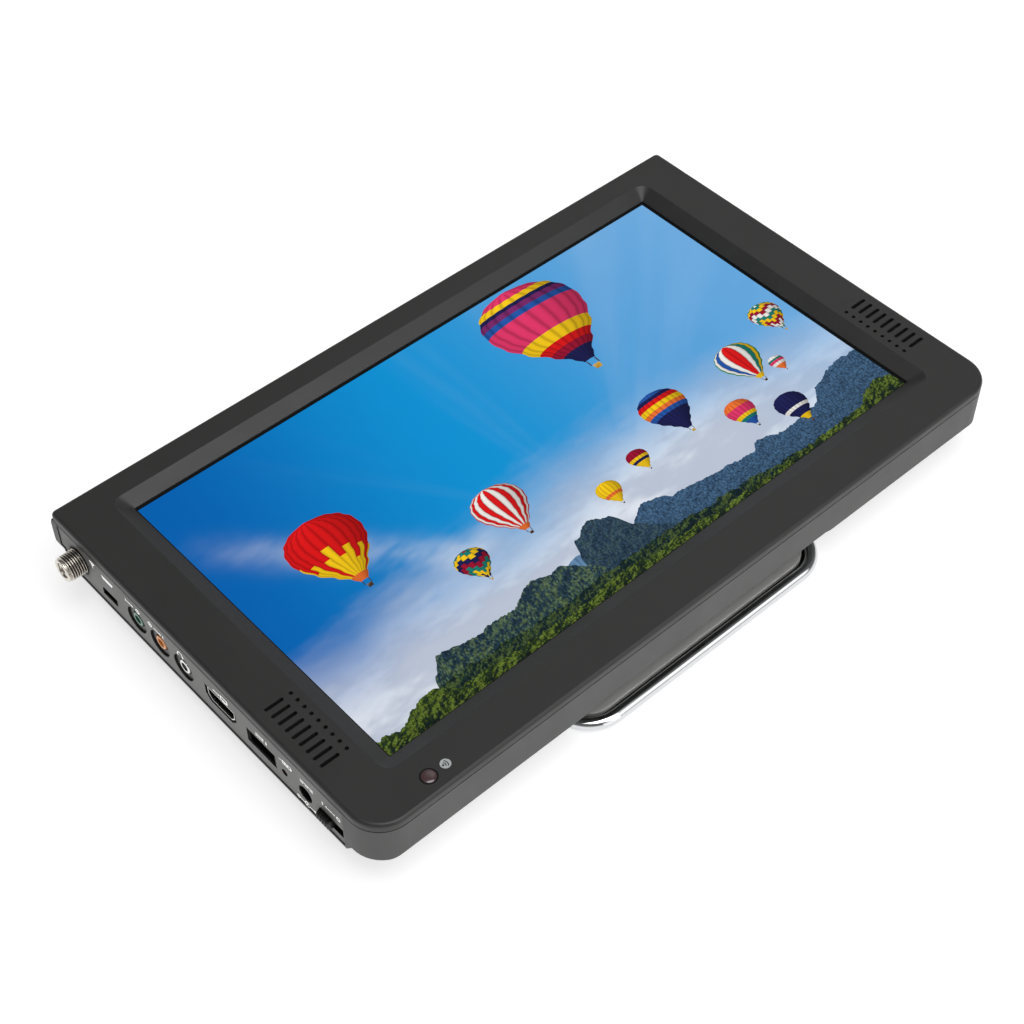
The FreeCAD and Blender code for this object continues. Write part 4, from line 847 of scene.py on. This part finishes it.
def mix(a, b, t):
    t = min(1.0, max(0.0, t))
    return tuple(x + (y - x) * t for x, y in zip(a, b))


def ease(low, high, value):
    t = min(1.0, max(0.0, (value - low) / (high - low)))
    return t * t * (3 - 2 * t)


def flutter(x, y, seed, octaves=4):
    """Fractal noise about 0, in the range -1 to 1."""
    return noise.fractal(Vector((x, y, seed)), 0.6, 2.1, octaves)


def painted_piece(name, vertices, faces, colours, material):
    """Picture piece with a colour for each face corner."""
    obj = piece(name, Solid(vertices, faces), material)
    layer = obj.data.color_attributes.new("Paint", "FLOAT_COLOR", "CORNER")
    layer.data.foreach_set("color", [channel for colour in colours for channel in colour])


def painted_grid(name, columns, rows, vertices, shades, material):
    """Picture piece on a grid of points, each with its own colour."""
    faces = grid_faces(columns, rows)
    painted_piece(name, vertices, faces, [shades[q] for quad in faces for q in quad], material)


DEEP_SKY = tone(0.02, 0.38, 0.69)
MID_SKY = tone(0.04, 0.57, 0.83)
PALE_SKY = tone(0.42, 0.67, 0.88)
HAZE = tone(0.75, 0.78, 0.84)
CLOUD = tone(0.90, 0.92, 0.95)
SUN_U, SUN_V = 0.50, 0.12


def sky_colour(u, v):
    """Blue deepening to the left, broad soft streaks fanning out, and pale cloud along the skyline."""
    blue = mix(DEEP_SKY, MID_SKY, ease(0.02, 0.50, u + 0.10 * (1 - v)))
    blue = mix(blue, PALE_SKY, ease(0.42, 1.0, u) * 0.85)
    angle = math.atan2(u - SUN_U, (v - SUN_V) * ASPECT)
    reach = math.hypot(u - SUN_U, (v - SUN_V) * ASPECT)
    broad = 0.5 + 0.5 * flutter(angle * 1.9, reach * 0.9, 3.7, 2)
    fine = 0.5 + 0.5 * flutter(angle * 6.0, reach * 1.4, 8.1, 3)
    veil = 0.19 * ease(0.45, 1.0, 0.8 * broad + 0.2 * fine) * ease(0.0, 0.45, u)
    colour = mix(blue, CLOUD, veil)
    lane = 0.80 - 1.52 * u + 0.03 * flutter(u * 6, 0.0, 6.2)
    torn = 0.55 + 0.6 * flutter(u * 5 + v * 2, v * 7 - u * 2, 1.3)
    wisp = math.exp(-((v - lane) / 0.06) ** 2) * ease(-0.02, 0.20, u) * ease(0.42, 0.24, u) * torn
    second = math.exp(-((v - 0.30 - 0.35 * (u - 0.2)) / 0.06) ** 2) * ease(0.05, 0.2, u) * ease(0.55, 0.3, u)
    colour = mix(colour, CLOUD, min(0.55, max(0.0, 0.60 * wisp + 0.25 * second * torn)))
    puff = flutter(u * 5, v * 9, 2.2, 5)
    bank = 0.30 + 0.05 * flutter(u * 2.5, 0.0, 5.5) + 0.07 * ease(0.3, 0.6, u) * ease(0.95, 0.6, u)
    low = ease(bank + 0.15, bank - 0.17, v + 0.045 * puff)
    cloud = mix(HAZE, CLOUD, ease(-0.3, 0.7, puff))
    cloud = mix(cloud, PALE_SKY, 0.35 * ease(0.70, 1.0, u))
    return mix(colour, cloud, low * 0.96)


def build_sky():
    columns, rows = 260, 146
    places = [(i / columns, j / rows) for j in range(rows + 1) for i in range(columns + 1)]
    painted_grid("picture_sky", columns, rows, [picture_point(u, v, 1) for u, v in places],
                 [sky_colour(u, v) for u, v in places], picture_material("sky_look", 14.0, 0.015))


def interpolate(points, x):
    """Smooth curve through (x, y) points."""
    for (xa, ya), (xb, yb) in zip(points, points[1:]):
        if x <= xb:
            return ya + (yb - ya) * ease(xa, xb, x)
    return points[-1][1]


SUNLIT = tone(0.50, 0.58, 0.24)
SHADE = tone(0.05, 0.10, 0.16)
MIST = tone(0.42, 0.58, 0.74)


def relief(x, y, seed):
    """Slope of a noise landscape towards the upper left, about -1 to 1, as if lit from there."""
    step = 0.010
    return 6.0 * (flutter(x, y, seed, 5) - flutter(x - step * 6, y + step * 6, seed, 5))


def build_ridge(name, span, skyline, ragged, crowns, low_colour, top_colour, sun, mist, layer, material, seed,
                rows=22):
    """Range of hills: skyline with fractal roughness or tree crowns, lit from the upper left."""
    start, stop = span
    columns = max(60, int((stop - start) * 620))
    vertices = []
    shades = []
    for j in range(rows + 1):
        for i in range(columns + 1):
            u = start + (stop - start) * i / columns
            top = interpolate(skyline, u) + ragged * flutter(u * 24, 0.0, seed, 6)
            top += crowns * (1.0 - abs(flutter(u * 75, 0.0, seed + 4, 2)) * 2.0)
            share = j / rows
            height = max(0.0005, top) * share
            vertices.append(picture_point(u, height, layer))
            light = relief(u * 30, height * 24, seed + 9)
            mottle = 0.5 + 0.5 * flutter(u * 60, height * 50, seed + 2, 3)
            colour = mix(low_colour, top_colour, 0.2 + 0.5 * share + 0.4 * (mottle - 0.5))
            colour = mix(colour, SUNLIT, sun * ease(0.05, 0.7, light + 0.6 * (mottle - 0.4)))
            colour = mix(colour, SHADE, 0.62 * ease(0.0, -0.7, light))
            shades.append(mix(colour, MIST, mist * (0.45 + 0.55 * ease(0.0, 0.5, u))))
    painted_grid(name, columns, rows, vertices, shades, material)


def build_hills():
    rock = picture_material("rock_look", 1.0, 0.40, 0.9)
    leaves = picture_material("leaves_look", 0.9, 0.50, 0.7)
    green = tone(0.16, 0.26, 0.20)
    blue_green = tone(0.13, 0.24, 0.34)
    build_ridge("picture_far_hill", (0.30, 0.52),
                [(0.30, 0.06), (0.36, 0.13), (0.40, 0.15), (0.45, 0.11), (0.52, 0.05)],
                0.006, 0.0, tone(0.42, 0.56, 0.68), tone(0.38, 0.53, 0.68), 0.0, 0.3, 2,
                picture_material("far_look", 3.0, 0.06), 21.0, rows=6)
    build_ridge("picture_right_range", (0.46, 1.0),
                [(0.46, 0.08), (0.54, 0.162), (0.59, 0.135), (0.66, 0.11), (0.72, 0.10), (0.75, 0.12),
                 (0.80, 0.095), (0.86, 0.105), (0.90, 0.155), (0.95, 0.178), (1.0, 0.172)],
                0.012, 0.002, tone(0.10, 0.22, 0.32), tone(0.20, 0.34, 0.50), 0.05, 0.22, 3, rock, 2.0)
    build_ridge("picture_rock", (0.395, 0.56),
                [(0.395, 0.05), (0.408, 0.14), (0.42, 0.188), (0.455, 0.212), (0.485, 0.192), (0.505, 0.13),
                 (0.53, 0.09), (0.56, 0.04)],
                0.010, 0.001, tone(0.07, 0.14, 0.20), tone(0.17, 0.28, 0.36), 0.10, 0.10, 4, rock, 5.0)
    build_ridge("picture_left_hill", (0.095, 0.43),
                [(0.095, 0.03), (0.11, 0.055), (0.125, 0.10), (0.15, 0.145), (0.20, 0.125), (0.27, 0.130),
                 (0.32, 0.158), (0.37, 0.150), (0.405, 0.105), (0.43, 0.05)],
                0.009, 0.004, green, blue_green, 0.40, 0.06, 5, rock, 8.0)
    build_ridge("picture_slope", (0.03, 0.80),
                [(0.03, 0.02), (0.08, 0.050), (0.15, 0.075), (0.25, 0.060), (0.35, 0.055), (0.5, 0.060),
                 (0.62, 0.045), (0.80, 0.02)],
                0.008, 0.004, tone(0.07, 0.14, 0.13), tone(0.13, 0.24, 0.21), 0.28, 0.0, 6, leaves,
                11.0, rows=14)
    build_ridge("picture_trees", (0.0, 1.0),
                [(0.0, 0.050), (0.04, 0.036), (0.075, 0.070), (0.105, 0.072), (0.14, 0.036), (0.22, 0.030),
                 (0.35, 0.020), (0.44, 0.035), (0.5, 0.020), (0.7, 0.014), (0.91, 0.018), (0.945, 0.055),
                 (0.975, 0.060), (1.0, 0.045)],
                0.006, 0.006, tone(0.07, 0.11, 0.04), tone(0.26, 0.36, 0.12), 0.50, 0.0, 7, leaves,
                13.0, rows=16)


RED = tone(0.87, 0.09, 0.10)
CRIMSON = tone(0.62, 0.07, 0.20)
PINK = tone(0.90, 0.22, 0.42)
ORANGE = tone(0.95, 0.46, 0.20)
YELLOW = tone(0.98, 0.80, 0.10)
WHITE = tone(0.95, 0.94, 0.92)
NAVY = tone(0.11, 0.12, 0.33)
BLUE = tone(0.14, 0.34, 0.66)
TEAL = tone(0.10, 0.50, 0.45)
GREEN = tone(0.20, 0.58, 0.28)
PURPLE = tone(0.48, 0.16, 0.42)

ENVELOPE = [(0.0, 0.11), (0.08, 0.22), (0.2, 0.46), (0.35, 0.74), (0.5, 0.93), (0.62, 1.0), (0.75, 0.97),
            (0.86, 0.83), (0.94, 0.6), (0.985, 0.32), (1.0, 0.04)]


def banded(limits, colours):
    """Pattern of level bands: colours change at the given heights."""
    def pattern(gore, height):
        for limit, colour in zip(limits, colours):
            if height < limit:
                return colour
        return colours[-1]
    return pattern


def striped(colours, foot=None):
    """Pattern of upright stripes, one colour per gore, with a plain foot."""
    def pattern(gore, height):
        if foot and height < 0.1:
            return foot
        return colours[gore % len(colours)]
    return pattern


def zigzag(colours, size=0.16):
    """Pattern of stepped chevrons."""
    def pattern(gore, height):
        climb = abs((gore % 4) - 2) * size * 0.6
        return colours[int((height + climb) / size) % len(colours)]
    return pattern


def flame(body, centre, foot):
    """Plain body with a stepped flame rising from the foot."""
    def pattern(gore, height):
        if height < 0.09:
            return foot
        tips = (0.52, 0.34, 0.44, 0.25, 0.38)
        return centre if height < tips[gore % len(tips)] and gore % 7 != 3 else body
    return pattern


# centre (u, v), width as a share of the picture's width, number of gores facing the viewer, pattern
BALLOONS = [
    (0.685, 0.805, 0.178, 10, banded((0.14, 0.21, 0.27, 0.39, 0.66, 0.73, 0.79, 0.85, 0.91),
                                     (NAVY, CRIMSON, RED, YELLOW, PINK, BLUE, PURPLE, NAVY, YELLOW, PINK))),
    (0.160, 0.560, 0.122, 12, flame(RED, YELLOW, ORANGE)),
    (0.387, 0.380, 0.086, 13, striped((RED, WHITE), ORANGE)),
    (0.290, 0.295, 0.053, 8, zigzag((NAVY, YELLOW, TEAL, CRIMSON))),
    (0.521, 0.243, 0.040, 8, banded((0.3, 0.42, 0.55), (YELLOW, ORANGE, YELLOW, YELLOW))),
    (0.596, 0.276, 0.036, 8, banded((0.34, 0.46, 0.6, 0.75), (YELLOW, NAVY, YELLOW, CRIMSON, CRIMSON))),
    (0.696, 0.350, 0.080, 11, banded((0.42, 0.5, 0.6, 0.7, 0.82, 0.9),
                                     (NAVY, BLUE, ORANGE, YELLOW, RED, NAVY, BLUE))),
    (0.851, 0.345, 0.075, 10, striped((GREEN, WHITE, BLUE, WHITE, RED, RED, WHITE, TEAL, YELLOW, GREEN),
                                      YELLOW)),
    (0.891, 0.280, 0.028, 6, banded((0.35, 0.5, 0.65, 0.8), (ORANGE, WHITE, PINK, TEAL, WHITE))),
    (0.955, 0.422, 0.057, 9, zigzag((TEAL, WHITE, CRIMSON, YELLOW), 0.12)),
    (0.775, 0.213, 0.050, 9, banded((0.2, 0.3, 0.42, 0.7), (BLUE, TEAL, YELLOW, PINK, ORANGE))),
    (0.841, 0.138, 0.055, 10, banded((0.16, 0.36, 0.46), (YELLOW, NAVY, WHITE, NAVY))),
]


BALLOON_BOW = 0.09
BALLOON_LAYER = 8


def build_balloons():
    """Hot-air balloons in plain stripes, bands and chevrons."""
    vertices, faces, colours = [], [], []
    rows = 44

    def quad(points, colour_list):
        first = len(vertices)
        vertices.extend(points)
        faces.append([first, first + 1, first + 2, first + 3])
        colours.extend(colour_list)

    for number, (cu, cv, width, gores, pattern) in enumerate(BALLOONS):
        columns = gores * 4
        tall = width * 1.12 / ASPECT
        for j in range(rows):
            for i in range(columns):
                corners = []
                lights = []
                for di, dj in ((0, 0), (1, 0), (1, 1), (0, 1)):
                    turn = -1 + 2 * (i + di) / columns
                    across = math.sin(turn * math.pi / 2)
                    height = (j + dj) / rows
                    radius = interpolate(ENVELOPE, height)
                    seam = abs(((i + di) % 4) - 2) / 2
                    puff = 0.006 * (1 - seam ** 2) * ease(0.55, 1.0, height)
                    bow = BALLOON_BOW * radius * math.sqrt(max(0.0, 1 - across * across)) * (1 - height ** 3)
                    corners.append(picture_point(cu + width / 2 * radius * across,
                                                 cv + tall * (height - 0.5 + puff + bow), BALLOON_LAYER))
                    light = 0.42 + 0.66 * math.cos(across * 1.15 + 0.35) * (0.70 + 0.30 * height)
                    lights.append(light * (1 - 0.42 * seam ** 3))
                colour = pattern(i // 4, (j + 0.5) / rows)
                quad(corners, [(*[c * light for c in colour[:3]], 1.0) for light in lights])
        foot = cv - tall / 2
        rope = tone(0.25, 0.20, 0.16)
        basket = tone(0.30, 0.19, 0.10) if number % 3 else tone(0.80, 0.62, 0.20)
        drop = tall * 0.055
        size = width * 0.038
        for side in (-1, 1):
            x = cu + side * width * 0.045
            thin = width * 0.006
            quad([picture_point(u, v, BALLOON_LAYER) for u, v in (
                (x - thin, foot - drop), (x + thin, foot - drop), (x + thin, foot), (x - thin, foot))],
                 [rope] * 4)
        bottom = foot - drop - size / ASPECT * 1.5
        quad([picture_point(u, v, BALLOON_LAYER + 1) for u, v in (
            (cu - size * 0.85, bottom), (cu + size * 0.85, bottom), (cu + size, foot - drop),
            (cu - size, foot - drop))],
             [mix(basket, (0, 0, 0, 1), 0.4), basket, basket, mix(basket, WHITE, 0.2)])
    painted_piece("picture_balloons", vertices, faces, colours, picture_material("balloon_look", 0.8, 0.07))


def build_screen_mask():
    """Black border of the panel between the picture and the bezel."""
    line = 0.6 * MM
    reach = 1.2 * MM
    x0, x1 = PICTURE_X0, PICTURE_X0 + PICTURE_W
    y0, y1 = PICTURE_Y0, PICTURE_Y0 + PICTURE_H
    solid = Solid()
    low = glass_high.z + 0.001 * MM
    high = glass_high.z + LAYER * 12

    def placed(a, b, c):
        return (a, b, c)
    for ax, bx, ay, by in ((x0 - reach, x1 + reach, y1 - line, y1 + reach),
                           (x0 - reach, x1 + reach, y0 - reach, y0 + line * 0.4),
                           (x0 - reach, x0 + line * 0.4, y0 + line * 0.4, y1 - line),
                           (x1 - line, x1 + reach, y0 + line * 0.4, y1 - line)):
        solid.prism([(ax, ay), (bx, ay), (bx, by), (ax, by)], placed, low, high)
    piece("screen_mask", solid, black_trim)


build_aerial_barrel()
build_aerial_face()
build_aerial_grommet()
build_switch_knob()
build_stand_gasket()
build_port_marks()
build_key_marks()
build_sensor_trim()
build_grille_cloth()
build_contacts()
build_socket_noses()
build_video_rim()
build_jack_springs()
build_sky()
build_hills()
build_balloons()
build_screen_mask()


# ---- floor, light and camera
def build_floor():
    """Pale floor that glows a little, like a lit table, so the set's shadow stays faint."""
    half = 4.0
    mat, tree, bsdf = blank_material("floor_look")
    place = shader(tree, "TexCoord").outputs["Object"]
    grain = noise_value(tree, place, 6.0)
    colour = blend_colours(tree, grain, (0.39, 0.39, 0.39, 1), (0.41, 0.41, 0.41, 1))
    feed(tree, bsdf.inputs["Base Color"], colour)
    feed(tree, bsdf.inputs["Roughness"], spread(tree, grain, 0.6, 0.7))
    bsdf.inputs["Specular IOR Level"].default_value = 0.2
    bsdf.inputs["Emission Color"].default_value = (1, 1, 1, 1)
    bsdf.inputs["Emission Strength"].default_value = FLOOR_GLOW
    mesh = bpy.data.meshes.new("floor")
    corners = [(-half, -half, 0), (half, -half, 0), (half, half, 0), (-half, half, 0)]
    mesh.from_pydata(corners, [], [(0, 1, 2, 3)])
    mesh.materials.append(mat)
    floor = bpy.data.objects.new("floor", mesh)
    floor.location.z = -0.05 * MM
    bpy.context.scene.collection.objects.link(floor)


FLOOR_GLOW = 0.70
ROOM_LEVEL = 0.14
HORIZON_LEVEL = 0.75
HORIZON_TOP = 0.42
# soft panels: direction, cosine where the panel starts, cosine where it is full, brightness
PANELS = [
    ((0.03, -0.25, 0.96), 0.90, 0.965, 3.6),
    ((0.55, 0.43, 0.72), 0.955, 0.99, 0.85),
    ((0.35, -0.68, 0.65), 0.90, 0.955, 1.3),
]


def build_world():
    """Dim studio, paler towards the horizon, with soft panels overhead, to the right and in front."""
    world = bpy.data.worlds.new("studio")
    bpy.context.scene.world = world
    world.use_nodes = True
    tree = world.node_tree
    tree.nodes.clear()
    out = tree.nodes.new("ShaderNodeOutputWorld")
    background = tree.nodes.new("ShaderNodeBackground")
    tree.links.new(background.outputs[0], out.inputs[0])
    direction = shader(tree, "TexCoord").outputs["Generated"]
    climb = shader(tree, "SeparateXYZ", Vector=direction).outputs["Z"]
    horizon = shader(tree, "MapRange", {"interpolation_type": "SMOOTHSTEP"}, Value=climb,
                     From_Min=HORIZON_TOP, From_Max=0.0, To_Min=0.0, To_Max=HORIZON_LEVEL).outputs[0]
    level = arithmetic(tree, "ADD", horizon, ROOM_LEVEL)
    for towards, start, full, brightness in PANELS:
        facing = shader(tree, "VectorMath", {"operation": "DOT_PRODUCT"})
        tree.links.new(direction, facing.inputs[0])
        facing.inputs[1].default_value = Vector(towards).normalized()
        panel = shader(tree, "MapRange", {"interpolation_type": "SMOOTHSTEP"}, Value=facing.outputs["Value"],
                       From_Min=start, From_Max=full, To_Min=0.0, To_Max=brightness).outputs[0]
        level = arithmetic(tree, "ADD", panel, level)
    grey = shader(tree, "CombineColor", Red=level, Green=level, Blue=level).outputs[0]
    feed(tree, background.inputs["Color"], grey)
    background.inputs["Strength"].default_value = 1.0


def soft_light(name, location, target, size, power):
    lamp = bpy.data.lights.new(name, "AREA")
    lamp.shape = "SQUARE"
    lamp.size = size
    lamp.energy = power
    obj = bpy.data.objects.new(name, lamp)
    obj.location = location
    obj.rotation_mode = "QUATERNION"
    obj.rotation_quaternion = (Vector(target) - Vector(location)).to_track_quat("-Z", "Y")
    bpy.context.scene.collection.objects.link(obj)


def build_lights():
    soft_light("overhead", (-0.15, -0.35, 1.30), (0, 0, 0), 0.9, 2.5)
    soft_light("front_fill", (0.1, -1.3, 0.30), (0, 0, 0.02), 0.8, 1.5)


CAMERA_ROLL = 0.235


def build_camera():
    """Three-quarter view from above the lower left corner."""
    data = bpy.data.cameras.new("camera")
    data.lens = 67.6
    data.sensor_width = 36.0
    data.clip_start = 0.01
    camera = bpy.data.objects.new("camera", data)
    camera.location = (-0.3332, -0.3584, 0.5513)
    camera.rotation_mode = "QUATERNION"
    look = Vector((0.4404, 0.4929, -0.7504))
    roll = Quaternion(look, math.radians(CAMERA_ROLL))
    camera.rotation_quaternion = roll @ look.to_track_quat("-Z", "Y")
    bpy.context.scene.collection.objects.link(camera)
    bpy.context.scene.camera = camera


build_floor()
build_world()
build_lights()
build_camera()
